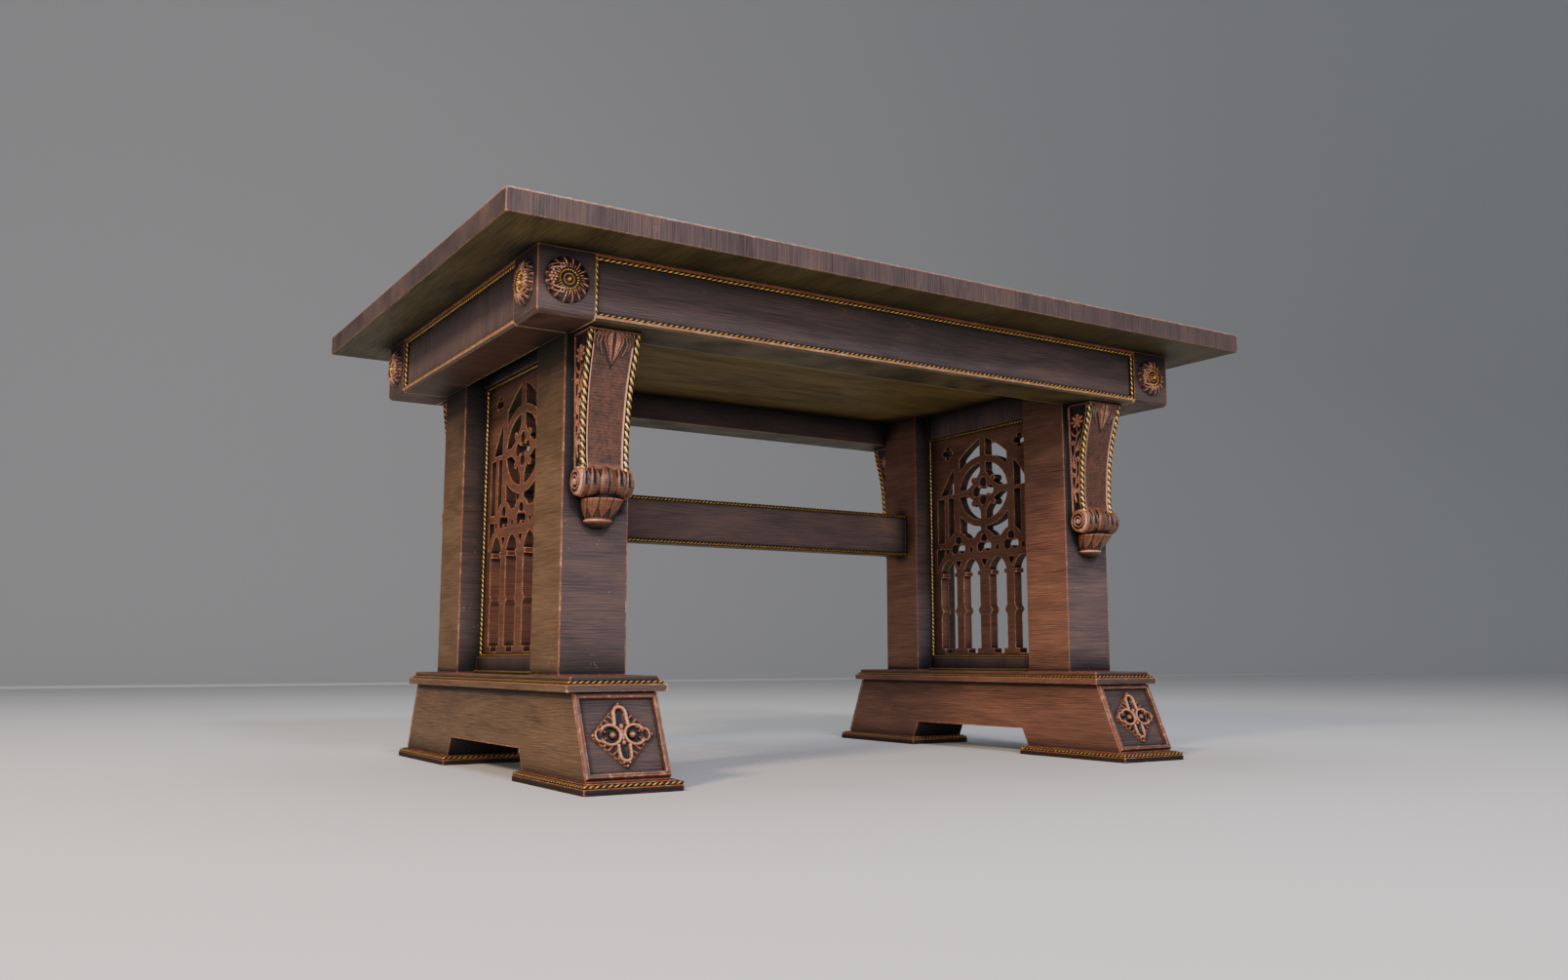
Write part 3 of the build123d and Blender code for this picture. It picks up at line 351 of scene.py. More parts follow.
def timber(
    name, lines, tones, sides=None, under=FLOOR_BOUNCE_OLIVE, gloss=0.50,
    wear=1.0, shift=0.0, upright=0, pitch_mm=4.2, crown_shade=0.0,
):
    """Polished hardwood: fine lines stepped along one axis, a slow cloudy figure, dark
    pores, blue-black painted shade with some grime in the corners, and copper-coloured
    rubbed arrises. Faces that look towards +X or -X, whichever upright names, carry
    upright lines. Faces that look down take the tone given for under, a painted light
    from the floor below (painted shade where SHADED is given), and faces to the left and
    right may have tones of their own, a painted warm side light. Crown shade paints a
    shadow that darkens the wood towards the top of a leg."""
    material, tree, shader = new_material(name)
    bench = Bench(tree)
    streak, cloud = [], []
    for axis in "XYZ":
        across = axis == lines
        streak.append(420.0 if across else 14.0)
        cloud.append(15.0 if across else 3.2)
    sway = bench.noise(bench.stretched(cloud, (shift, 2.7, shift * 0.6)), 1.0, 5.0, 0.62, 1.2)
    wander = bench.noise(bench.stretched([c * 2.0 for c in cloud], (shift, 1.0, 0)), 1.0, 3.0, 0.55, 0.4)
    pores = bench.noise(bench.stretched(streak, (0, shift, 0)), 1.0, 3.0, 0.6)
    spread = bench.add("ShaderNodeSeparateXYZ", {"Vector": bench.place})
    facing = bench.add("ShaderNodeNewGeometry").outputs["Normal"]
    normal = bench.add("ShaderNodeSeparateXYZ", {"Vector": facing})
    run = spread.outputs[lines]
    if upright:
        outward = bench.range(bench.times(normal.outputs["X"], float(upright)), 0.5, 0.7)
        swap = bench.less(spread.outputs["Y"], run)
        run = bench.plus(run, bench.times(swap, outward))
    phase = bench.times(run, 2 * pi / (pitch_mm * MM))
    phase = bench.plus(phase, bench.times(wander, 26.0))
    line = bench.math("SINE", phase)
    patches = bench.stretched([c * 3.0 for c in cloud], (0, 0, shift))
    faint = bench.range(bench.noise(patches, 1.0, 3.0), 0.38, 0.62)
    blend = bench.plus(bench.times(sway, 0.50), bench.times(pores, 0.50))
    blend = bench.plus(blend, bench.times(bench.times(line, faint), 0.070))
    places = (0.31, 0.44, 0.55, 0.69)
    colour = bench.ramp(blend, list(zip(places, tones)))
    # Painted light: faces towards the left and right take their own tones, a painted warm side light.
    if sides:
        sideways = bench.range(bench.math("ABSOLUTE", normal.outputs["X"]), 0.6, 0.8)
        colour = bench.mix(sideways, colour, bench.ramp(blend, list(zip(places, sides))))
    # Painted light: faces that look down take the under tones, bounce light from the floor, and shade
    # where SHADED is given.
    down = bench.range(normal.outputs["Z"], -0.5, -0.9)
    below = bench.ramp(blend, [(0.40, [0.55 * c for c in under]), (0.60, [1.4 * c for c in under])])
    colour = bench.mix(down, colour, below)

    grain = bench.noise(bench.place, 95.0, 5.0, 0.7)
    coarse = bench.noise(bench.place, 22.0, 3.0, 0.6)
    # Painted shade, with some grime: corners found by ambient occlusion darken towards blue-black.
    unshaded = bench.range(bench.hollows(0.055), 0.46, 0.95)
    unshaded = bench.times(unshaded, bench.range(bench.hollows(0.012), 0.30, 0.85), clamp=True)
    # Painted shadow: the wood darkens towards the top of a leg, where the slab's shade falls.
    if crown_shade:
        rise = bench.plus(spread.outputs["Z"], bench.times(coarse, 0.10))
        unshaded = bench.times(unshaded, bench.range(rise, 0.50, 0.68, 1.0, 1.0 - crown_shade))
    colour = bench.mix(bench.less(1.0, unshaded), colour, SHADE_AND_GRIME)

    ragged = bench.plus(bench.times(grain, 0.8), bench.times(coarse, 0.7))
    edge = bench.arrises(0.0040)
    rub = bench.range(bench.plus(edge, bench.times(ragged, 0.55 * wear)), 0.92, 1.30)
    rub = bench.times(rub, bench.range(unshaded, 0.10, 0.50, 0.35, 1.0), clamp=True)
    metal = bench.mix(bench.range(grain, 0.50, 0.66), COPPER, COPPER_PALE)
    metal = bench.mix(down, metal, PALE_LINE)
    colour = bench.mix(bench.times(bench.range(rub, 0.0, 0.35), 0.8), colour, COPPER_DARK)
    colour = bench.mix(bench.range(rub, 0.25, 0.9), colour, metal)

    cells = {"Vector": bench.place, "Scale": 230.0, "Randomness": 1.0}
    dots = bench.add("ShaderNodeTexVoronoi", cells).outputs["Distance"]
    rare = bench.range(bench.noise(bench.place, 42.0, 3.0, 0.7), 0.60, 0.68)
    specks = bench.times(bench.range(dots, 0.26, 0.10), rare)
    colour = bench.mix(bench.times(specks, 0.6 * wear), colour, SPECK)
    tree.links.new(colour, shader.inputs["Base Color"])

    rough = bench.range(pores, 0.3, 0.7, gloss + 0.06, gloss - 0.04)
    rough = bench.plus(rough, bench.times(bench.less(1.0, unshaded), 0.25))
    tree.links.new(rough, shader.inputs["Roughness"])
    relief = bench.plus(bench.times(line, 0.12), bench.times(pores, 0.6))
    tree.links.new(bench.bump(relief, 0.0005, 0.45), shader.inputs["Normal"])
    shader.inputs["Specular IOR Level"].default_value = 0.16
    return material


def carving(name):
    """Carved timber: the mark on each point runs from nought in the hollows to one on the
    high ground, and takes the colour from blue-black through red brown to rubbed copper.
    The blue-black and dark brown of the low marks are painted shade in the hollows."""
    material, tree, shader = new_material(name)
    bench = Bench(tree)
    mark = bench.add("ShaderNodeAttribute", attribute_name="mark").outputs["Fac"]
    grain = bench.noise(bench.place, 160.0, 5.0, 0.7)
    coarse = bench.noise(bench.place, 45.0, 3.0, 0.6)
    shade = bench.plus(mark, bench.times(bench.less(grain, 0.5), 0.55))
    shade = bench.plus(shade, bench.times(bench.less(coarse, 0.5), 0.30))
    edge = bench.arrises(0.0030)
    shade = bench.plus(shade, bench.times(edge, 0.22))
    height = bench.add("ShaderNodeSeparateXYZ", {"Vector": bench.place}).outputs["Z"]
    wander = bench.noise(bench.stretched((6, 6, 30)), 1.0, 3.0)
    phase = bench.plus(bench.times(height, 2 * pi / 0.0046), bench.times(wander, 16.0))
    shade = bench.plus(shade, bench.times(bench.math("SINE", phase), 0.045))
    stops = [
        (0.10, SHADE_AND_GRIME),
        (0.30, (0.016, 0.010, 0.009)),
        (0.50, (0.072, 0.033, 0.021)),
        (0.72, (0.150, 0.056, 0.028)),
        (0.90, (0.280, 0.105, 0.052)),
        (1.00, (0.460, 0.235, 0.160)),
    ]
    colour = bench.ramp(shade, stops)
    # Painted shade, with some grime: tight hollows found by ambient occlusion darken towards blue-black.
    unshaded = bench.range(bench.hollows(0.010), 0.20, 0.72)
    colour = bench.mix(bench.less(1.0, unshaded), colour, SHADE_AND_GRIME)
    tree.links.new(colour, shader.inputs["Base Color"])
    tree.links.new(bench.range(grain, 0.3, 0.7, 0.34, 0.50), shader.inputs["Roughness"])
    tree.links.new(bench.bump(grain, 0.0005, 0.5), shader.inputs["Normal"])
    shader.inputs["Specular IOR Level"].default_value = 0.35
    return material


def gilding(name, gold, dark, gap=0.05):
    """Rope gilding: strands marked above the gap are gold, the ones below take the dark colour: black,
    and on the top rope a painted blue-grey sky sheen.
    """
    material, tree, shader = new_material(name)
    bench = Bench(tree)
    mark = bench.add("ShaderNodeAttribute", attribute_name="mark").outputs["Fac"]
    grain = bench.noise(bench.place, 300.0, 4.0, 0.7)
    patch = bench.noise(bench.place, 110.0, 2.0, 0.5)
    worn = bench.plus(mark, bench.times(bench.less(grain, 0.5), 0.5))
    worn = bench.plus(worn, bench.times(bench.less(patch, 0.5), 1.1))
    share = bench.range(worn, gap, gap + 0.22)
    bright = bench.mix(bench.range(grain, 0.35, 0.65), gold, [min(1.0, c * 1.6) for c in gold])
    colour = bench.mix(share, dark, bright)
    tree.links.new(colour, shader.inputs["Base Color"])
    tree.links.new(bench.times(share, 0.75), shader.inputs["Metallic"])
    tree.links.new(bench.range(grain, 0.3, 0.7, 0.26, 0.42), shader.inputs["Roughness"])
    tree.links.new(bench.bump(grain, 0.0003, 0.4), shader.inputs["Normal"])
    return material


def plain_stuff(name, colour, rough, metal=0.0):
    """Hidden hardware and dowels: a faint grain over one colour."""
    material, tree, shader = new_material(name)
    bench = Bench(tree)
    grain = bench.noise(bench.stretched((90, 90, 900)), detail=3.0)
    tone = bench.mix(grain, [c * 0.8 for c in colour], [min(1.0, c * 1.15) for c in colour])
    tree.links.new(tone, shader.inputs["Base Color"])
    tree.links.new(bench.range(grain, 0.3, 0.7, rough - 0.05, rough + 0.05), shader.inputs["Roughness"])
    shader.inputs["Metallic"].default_value = metal
    return material


# dark, low, mid and light tones of each stretch of timber
PLUM = ((0.028, 0.021, 0.022), (0.049, 0.036, 0.036), (0.070, 0.049, 0.045), (0.109, 0.064, 0.048))
RUSSET = ((0.064, 0.030, 0.021), (0.112, 0.053, 0.035), (0.156, 0.073, 0.045), (0.222, 0.105, 0.062))
GOLDEN = ((0.048, 0.029, 0.016), (0.086, 0.052, 0.028), (0.124, 0.074, 0.039), (0.165, 0.103, 0.053))


def lifted(tones, share):
    """The same four tones, all brighter by one share."""
    return tuple(tuple(share * c for c in tone) for tone in tones)


# ------------------------------------------------------------------ rope beads

STRANDS = 4
ROPE_STEPS = 16


def rope_skin(path, radius, lead, hand=1, bite=0.36):
    """A twisted rope along a line of points. At run s and angle t round the line, the
    radius is R times (1 - bite + bite |cos(2 (t + 2 pi s / lead))| to the 0.7), which
    gives four strands that turn once in each lead, to the left or, with a hand of -1, to
    the right. The mark is that cosine itself, so one pair of strands is marked high and
    the other pair low."""
    run = np.concatenate([[0], np.cumsum(np.linalg.norm(np.diff(path, axis=0), axis=1))])
    step = np.gradient(path, axis=0)
    step /= np.linalg.norm(step, axis=1)[:, None]
    guide = np.array([1.0, 0, 0]) if abs(step[0, 0]) < 0.7 else np.array([0, 0, 1.0])
    side = np.cross(step, guide)
    side /= np.linalg.norm(side, axis=1)[:, None]
    rise = np.cross(step, side)
    turn = full_turn(ROPE_STEPS)
    wave = np.cos(STRANDS / 2 * (turn[None, :] + hand * 2 * pi * run[:, None] / lead))
    reach = radius * (1 - bite + bite * np.abs(wave) ** 0.7)
    ring = np.cos(turn)[:, None] * side[:, None, :] + np.sin(turn)[:, None] * rise[:, None, :]
    points = path[:, None, :] + reach[..., None] * ring
    return Skin(points, wave, wrap_columns=True, lids=True)


def loose_strips(node):
    """The lowest and highest corners of each separate strip of a CAD node. Points that
    share a place are one point, and each face spreads its smallest label until none
    changes."""
    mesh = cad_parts[node].data
    where = np.zeros(len(mesh.vertices) * 3)
    mesh.vertices.foreach_get("co", where)
    where = where.reshape(-1, 3) / MM
    _, same = np.unique(np.round(where, 2), axis=0, return_inverse=True)
    same = same.reshape(-1)
    mesh.calc_loop_triangles()
    corner = np.zeros(len(mesh.loop_triangles) * 3, int)
    mesh.loop_triangles.foreach_get("vertices", corner)
    faces = same[corner].reshape(-1, 3)
    label = np.arange(same.max() + 1)
    while True:
        lowest = label[faces].min(1)
        fresh = label.copy()
        np.minimum.at(fresh, faces.reshape(-1), np.repeat(lowest, 3))
        fresh = fresh[fresh]
        if np.array_equal(fresh, label):
            break
        label = fresh
    island = label[same]
    return [(where[island == k].min(0), where[island == k].max(0)) for k in np.unique(island)]


def straight_ropes(node, lead, step):
    """A rope for each strip of a node. A group of strips that closes round a rectangle
    shows as a box that is thin one way only, and takes a rope along each of its sides."""
    skins = []
    for low, high in loose_strips(node):
        size = high - low
        thin, long = int(np.argmin(size)), int(np.argmax(size))
        broad = 3 - thin - long
        radius = size[thin] / 2
        middle = (low + high) / 2
        runs = []
        if size[broad] < 3 * radius:
            runs.append((long, middle, low[long], high[long]))
        else:
            for axis, other in ((long, broad), (broad, long)):
                for edge in (low[other] + radius, high[other] - radius):
                    centre = middle.copy()
                    centre[other] = edge
                    runs.append((axis, centre, low[axis], high[axis]))
        for axis, centre, start, stop in runs:
            count = max(4, int(round((stop - start) / step)))
            path = np.repeat(centre[None, :], count + 1, axis=0)
            path[:, axis] = np.linspace(start, stop, count + 1)
            skins.append(rope_skin(path, radius, lead))
    return skins


def make_ropes(gilt, sky_sheen_gilt):
    """Every straight rope bead, in the place of its plain strips."""
    leads = {
        # The top rope takes the gilt with a painted blue-grey sky sheen.
        "top_rope_bead": (40.0, 2.6, sky_sheen_gilt),
        "frieze_rope_beads": (19.0, 1.5, gilt),
        "stretcher_rope_beads": (17.0, 1.6, gilt),
        "tracery_rope_beads": (17.0, 1.6, gilt),
        "base_plate_rope_beads": (19.0, 1.6, gilt),
        "foot_pad_rope_beads": (19.0, 1.6, gilt),
    }
    for node, (lead, step, material) in leads.items():
        skins = straight_ropes(node, lead, step)
        make_piece(node.replace("bead", "twist"), skins, material, [node])


# ------------------------------------------------------------------ rosettes

ROSETTE_RINGS = 84
ROSETTE_SPOKES = 216
PETALS = 16
FLAT_HIGH = 6.5
RING_R, RING_HALF = 7.8, 1.3
BEADS, BEAD_RING = 22, 14.0
FLOWER = [
    (-20.5, 0.0, 2.9), (-25.4, 0.0, 2.8), (-29.6, 0.0, 2.6),
    (-22.4, 4.6, 2.9), (-27.4, 4.6, 2.8), (-24.6, 9.0, 2.7),
    (-22.4, -4.6, 2.9), (-27.4, -4.6, 2.8), (-24.6, -9.0, 2.7),
]


def petal_profile(turn, offset):
    """Place across a petal, from -1 to 1, and its profile there:
    (1 - u^4) (0.56 + 0.44 cos(2 pi u)), a middle rib between two raised lips."""
    u = ((turn * PETALS / (2 * pi) + offset) % 1) * 2 - 1
    return u, (1 - u ** 4) * (0.56 + 0.44 * np.cos(2 * pi * u))


def rosette_height(reach, turn, radius):
    """Height and mark over a rosette, at a reach from its middle and an angle round it.
    An outer and an inner row of petals stand under a crown, with a small flower and two
    long leaves on the left; the flat middle holds a ring."""
    a, b = reach * np.cos(turn), reach * np.sin(turn)
    bend = 0.25 * np.sin(2 * turn) + 0.12 * np.sin(5 * turn)
    u, outer_fold = petal_profile(turn + 0.10 * bend, 0.0)
    w, inner_fold = petal_profile(turn + 0.10 * bend, 0.5)
    crown = 3.5 + 8.5 * np.sqrt(np.clip(1 - (reach / (radius + 1.5)) ** 2, 0, 1))
    outer_tip = radius - 3.0 * u ** 2
    inner_tip = 0.74 * radius - 3.0 * w ** 2
    outer_end = np.sqrt(np.clip(1 - (reach / outer_tip) ** 10, 0, 1))
    inner_end = np.sqrt(np.clip(1 - (reach / inner_tip) ** 12, 0, 1))
    outer = crown * (0.45 + 0.55 * outer_fold) * outer_end
    inner = (crown + 1.6) * (0.45 + 0.55 * inner_fold) * inner_end
    height = np.maximum(outer, inner)
    fold = np.where(inner > outer, inner_fold, outer_fold)
    mark = 0.02 + 0.78 * np.clip(fold, 0, 1) ** 1.2 + 0.10 * np.sin(3 * turn + reach / 3.0)
    for side in (-1, 1):
        for lift, high in ((14.5, 12.5), (20.0, 10.5)):
            line = [(-9, side * (lift + 1)), (-19, side * lift), (-31 + lift / 4, side * (lift - 2.5))]
            leaf = stroke(a, b, line, 2.5, high, 0.8)
            height, mark = laid_over(height, mark, leaf, 0.05 + 0.065 * leaf)
    for x, y, wide in FLOWER:
        away = np.hypot(a - x, b - y)
        lobe = np.where(away < wide, FLAT_HIGH + dome(away, wide, 5.6), 0)
        height, mark = laid_over(height, mark, lobe, 0.20 + 0.13 * (lobe - FLAT_HIGH))
    flat = smooth_step(17.2, 16.0, reach)
    height = height * (1 - flat) + FLAT_HIGH * flat
    mark = mark * (1 - flat) + 0.12 * flat
    from_ring = np.abs(reach - RING_R)
    near_ring = from_ring < RING_HALF
    ring = FLAT_HIGH + dome(from_ring, RING_HALF, 2.8)
    height = np.where(near_ring, np.maximum(height, ring), height)
    return height, np.where(near_ring, 0.66, mark)


def rosette_skins(radius, flip):
    """A rosette's carved skin, and its gilt beads and boss as small domes, standing on
    z = 0. Flipped, the small flower lies on the right."""
    reach = radius * np.linspace(0, 1, ROSETTE_RINGS) ** 0.85
    turn = full_turn(ROSETTE_SPOKES)
    rr, tt = np.meshgrid(reach, turn, indexing="ij")
    height, mark = rosette_height(rr, tt, radius)
    height[-1] = 0
    points = np.stack([flip * rr * np.cos(tt), rr * np.sin(tt), height], -1)
    carved = Skin(points, mark, wrap_columns=True)
    carved.close_last_row()
    gilt = [dome_skin(0, 0, 6.0, 3.4, 7.0, 10, 24)]
    for angle in full_turn(BEADS):
        gilt.append(dome_skin(BEAD_RING * cos(angle), BEAD_RING * sin(angle), 5.8, 1.6, 3.4, 5, 10))
    return carved, gilt


def dome_skin(x, y, z, radius, height, rings, spokes):
    """A small dome: height times the root of one less the squared reach, closed below."""
    reach = np.sin(np.linspace(0, pi / 2, rings))
    turn = full_turn(spokes)
    rr, tt = np.meshgrid(reach, turn, indexing="ij")
    up = np.sqrt(np.clip(1 - rr ** 2, 0, 1))
    points = np.stack([x + radius * rr * np.cos(tt), y + radius * rr * np.sin(tt), z + height * up], -1)
    skin = Skin(points, 1.0, wrap_columns=True)
    skin.close_last_row()
    return skin


def on_plane(origin, right, up, out):
    """A function that carries (a, b, height) to a place on a face of the table."""
    origin, right, up, out = (np.array(v, float) for v in (origin, right, up, out))
    return lambda p: origin + p[..., :1] * right + p[..., 1:2] * up + p[..., 2:] * out


def make_rosettes(carved_wood, gilt):
    """Eight rosettes, two to each side of the table, in the place of the turned discs."""
    for node in ("rosettes_front", "rosettes_back", "rosettes_left", "rosettes_right"):
        low, high = corners(node)
        size = high - low
        axis = 1 if size[1] < size[0] else 0
        outward = np.sign(low[axis] + high[axis])
        along = 1 - axis
        radius = size[2] / 2
        out = np.zeros(3)
        out[axis] = outward
        right = np.cross([0, 0, 1.0], out)
        skins, beads = [], []
        carved, studs = rosette_skins(radius, 1 if axis == 1 else -1)
        for edge in (low[along] + radius, high[along] - radius):
            origin = np.zeros(3)
            origin[axis] = low[axis] if outward > 0 else high[axis]
            origin[along] = edge
            origin[2] = (low[2] + high[2]) / 2
            place = on_plane(origin, right, (0, 0, 1), out)
            skins.append(carved.placed(place))
            beads += [stud.placed(place) for stud in studs]
        make_piece(node + "_carved", skins, carved_wood, [node])
        beads_piece = make_piece(node + "_gilt", beads, gilt, [node])
        beads_piece.data.shade_smooth()


# ------------------------------------------------------------------ brackets

class BracketPlan:
    """Places on one bracket, measured across (x), out from the leg (y) and up (z)."""

    def __init__(self):
        low, high = corners("bracket_front_left")
        leg_low, _ = corners("leg_front_left")
        drop_low, drop_high = corners("bracket_drop_front_left")
        self.middle = -(low[0] + high[0]) / 2
        self.wall = -leg_low[1]
        self.top = high[2]
        self.roll_half = (high[0] - low[0]) / 2
        self.roll_radius = 22.0
        self.roll_z = low[2] + self.roll_radius
        self.roll_y = 23.0
        self.cap_depth = -low[1] - self.wall
        self.cap_low = self.top - 5.0
        self.drop_top = drop_high[2]
        self.drop_foot = drop_low[2]
        self.foot = self.roll_z + 17.0
        self.half_top, self.half_foot = 40.0, 36.0
        self.curve_z = np.array([self.cap_low, 645.0, 612.0, 570.0, 525.0, 488.0, self.foot])
        self.curve_y = np.array([58.0, 55.0, 45.0, 36.0, 31.0, 30.0, 34.0])

    def half_width(self, z):
        """Half the width at a height, narrowing evenly to the scroll."""
        down = (self.cap_low - z) / (self.cap_low - self.foot)
        return self.half_top - (self.half_top - self.half_foot) * down

    def depth(self, z):
        """How far the front stands out at a height: a smooth curve through seven places."""
        shape = np.polyfit((self.curve_z - 560) / 100, self.curve_y, 5)
        return np.polyval(shape, (z - 560) / 100)


ROPE_SEAT = 1.5
CHANNEL_R = 5.4
SIDE_STEPS, CHANNEL_STEPS, FRONT_STEPS = 44, 14, 96
BRACKET_ROWS = 190


def side_relief(t, z):
    """Flower, stem and curls carved on a bracket's side, with t from the leg (0) to the
    front (1) and z the height: every strand is a stroke of its own width and height."""
    a = (t - 0.5) * 30
    b = z - 470
    stem = [(0, 8), (-3, 30), (2, 52), (4, 74), (-2, 96), (-1, 118), (3, 138), (0, 152)]
    h = stroke(a, b, stem, 1.5, 1.5, 0.8)
    for y, side, wide in ((92, 1, 5.6), (62, -1, 5.0), (32, 1, 5.0), (124, -1, 4.6)):
        curl = arc(side * 6.2, y, wide, 180 if side > 0 else 0, 520 if side > 0 else -340, 24, 1.3, 0.25)
        h = np.maximum(h, stroke(a, b, curl, 1.5, 1.8, 0.7))
        h = np.maximum(h, dome(np.hypot(a - side * 6.2, b - y), 1.7, 1.9))
    leaves = [
        [(0, 12), (-5, 20), (-9.5, 26)], [(0, 12), (-7, 30), (-9.5, 44)],
        [(1, 44), (7, 50), (10.5, 60)], [(1, 44), (9, 46), (11.5, 48)],
        [(-2, 74), (-8, 78), (-10.5, 90)], [(-2, 74), (-5, 88), (-9, 102)],
        [(1, 106), (8, 108), (11, 118)], [(1, 106), (6, 116), (9.5, 130)],
        [(0, 134), (-7, 138), (-10, 146)], [(0, 134), (6, 140), (9.5, 146)],
    ]
    for leaf in leaves:
        h = np.maximum(h, stroke(a, b, leaf, 2.4, 2.0, 0.35))
    for angle in range(-60, 241, 50):
        tip = (8.5 * cos(radians(angle)), 163 + 11 * sin(radians(angle)))
        h = np.maximum(h, stroke(a, b, [(0, 161), tip], 2.2, 2.1, 1.25))
    h = np.maximum(h, dome(np.hypot(a, (b - 162) * 0.9), 3.2, 2.6))
    return h


def leaf_relief(a, b, spare=0.0):
    """The pointed leaf at the head of a bracket, with wavy side leaves: a is across and b
    is down from the cap. The leaf's half width is 17 sqrt(1 - ((14 - b) / 17)^2) above
    its broadest place and 17 (1 - (b - 14) / 35) below it. Spare widens every part."""
    above = 17.0 * np.sqrt(np.clip(1 - ((14 - b) / 17) ** 2, 0, 1))
    below = 17.0 * np.clip(1 - (b - 14 - spare) / 35, 0, 1)
    half = np.where(b < 14, above, below) + 0.01 + spare
    half = np.where(b > 49 + 2 * spare, 0.01, half)
    share = np.abs(a) / half
    inside = share < 1
    leaf = np.where(inside, 1.4 + 3.4 * np.sqrt(np.clip(1 - share ** 2, 0, 1)) ** 0.7, 0)
    leaf -= np.where(inside, 4.2 * np.exp(-((a / (0.8 + 0.10 * half)) ** 2)), 0)
    leaf -= np.where(inside, 2.4 * np.exp(-(((share - 0.72) / 0.09) ** 2)), 0)
    leaf -= np.where(inside, 1.2 * np.exp(-(((share - 0.42) / 0.06) ** 2)), 0)
    h = np.maximum(leaf, 0)
    lines = [
        [(11.5, 0), (19.4, 7), (22.0, 17), (18.4, 28), (15.5, 33)],
        [(18, 0), (25.0, 6), (27.2, 16), (24.0, 25)],
        [(24.5, 0), (30.2, 6), (31.8, 17)],
    ]
    for k, line in enumerate(lines):
        for side in (-1, 1):
            bent = [(side * x, y) for x, y in line]
            h = np.maximum(h, stroke(a, b, bent, 2.8 + spare, 3.6 - 0.3 * k, 0.6))
    return h


def bracket_body(plan):
    """The console's S-curved body: at each height its outline runs up one side, round the
    rope channel, across the front and back again, and carvings push the outline outwards."""
    z = np.linspace(plan.cap_low, plan.foot - 20, BRACKET_ROWS)
    half = plan.half_width(z)
    deep = plan.depth(np.maximum(z, plan.foot))
    sink = smooth_step(plan.foot, plan.foot - 20, z)
    deep = deep - 12 * sink
    gap = ROPE_SEAT + np.sqrt(CHANNEL_R ** 2 - ROPE_SEAT ** 2)
    t = np.linspace(0, 1, SIDE_STEPS)
    zz, tt = np.meshgrid(z, t, indexing="ij")
    side_y = tt * (deep - gap)[:, None]
    rim_back = smooth_step(5.0, 3.6, side_y) * 1.6
    to_front = (deep - gap)[:, None] - side_y
    rim_front = smooth_step(3.4, 2.0, to_front) * 1.6
    calm = smooth_step(plan.foot - 4, plan.foot + 10, zz)
    carved = side_relief(tt, zz) * (1 - np.clip(rim_back + rim_front, 0, 1)) * calm
    lift = np.maximum(carved, np.maximum(rim_back, rim_front)) - 1.6
    side_x = half[:, None] + lift
    raised = np.maximum(carved, np.maximum(rim_back, rim_front))
    side_mark = 0.26 + 0.60 * smooth_step(0.4, 1.5, raised)
    start = np.arctan2(-(gap - ROPE_SEAT), ROPE_SEAT)
    angle = np.linspace(start, -1.5 * pi - start, CHANNEL_STEPS)[None, :]
    centre_x, centre_y = (half - ROPE_SEAT)[:, None], (deep - ROPE_SEAT)[:, None]
    channel_x = centre_x + CHANNEL_R * np.cos(angle)
    channel_y = centre_y + CHANNEL_R * np.sin(angle)
    # Painted shade: the rope channel is marked near black.
    channel_mark = np.full(channel_x.shape, 0.02)
    u = np.linspace(1, -1, FRONT_STEPS)
    front_x = (half - gap)[:, None] * u[None, :]
    to_rope = (half - gap)[:, None] - np.abs(front_x)
    rim = smooth_step(3.2, 1.6, to_rope) * 1.3
    leaf = leaf_relief(front_x, (plan.cap_low - z)[:, None] + 0 * front_x)
    leaf = leaf * smooth_step(0.0, 3.0, to_rope)
    front_y = deep[:, None] + np.maximum(leaf, rim) - 1.3
    top_shade = 0.14 * smooth_step(60, 0, plan.cap_low - z)[:, None]
    bare = 0.475 - 0.8 * top_shade
    # Painted shade: the groove round the leaf is marked darker.
    outline = leaf_relief(front_x, (plan.cap_low - z)[:, None] + 0 * front_x, 1.3)
    in_groove = 0.40 * smooth_step(0.1, 1.2, outline)
    front_mark = np.where(leaf > np.maximum(rim, 0.1), 0.06 + 0.17 * leaf, bare - in_groove + 0.42 * rim)
    xs = [side_x, channel_x, front_x, -channel_x[:, ::-1], -side_x[:, ::-1]]
    ys = [side_y, channel_y, front_y, channel_y[:, ::-1], side_y[:, ::-1]]
    marks = [side_mark, channel_mark, front_mark, channel_mark[:, ::-1], side_mark[:, ::-1]]
    x, y, mark = (np.concatenate(part, 1) for part in (xs, ys, marks))
    points = np.stack([x, y, np.broadcast_to(z[:, None], x.shape)], -1)
    return Skin(points, mark, wrap_columns=True, lids=True)


def bracket_cap(plan):
    """The thin plate over the bracket: a rectangle whose edge bulges by a half round."""
    half_x, deep = 42.0, plan.cap_depth
    turn = np.linspace(-pi / 2, pi / 2, 9)
    outline = np.array([(-1, 0), (-1, 1), (1, 1), (1, 0)], float)
    per_side = 12
    loop = []
    for k in range(4):
        share = np.linspace(0, 1, per_side, endpoint=False)[:, None]
        loop.append(outline[k] * (1 - share) + outline[(k + 1) % 4] * share)
    loop = np.concatenate(loop)
    inset = 2.0 * (1 - np.cos(turn))
    x = loop[None, :, 0] * (half_x - inset[:, None])
    y = loop[None, :, 1] * (deep - inset[:, None])
    z = (plan.top + plan.cap_low) / 2 + (plan.top - plan.cap_low) / 2 * np.sin(turn)
    points = np.stack([x, y, np.broadcast_to(z[:, None], x.shape)], -1)
    return Skin(points, 0.50, wrap_columns=True, lids=True)


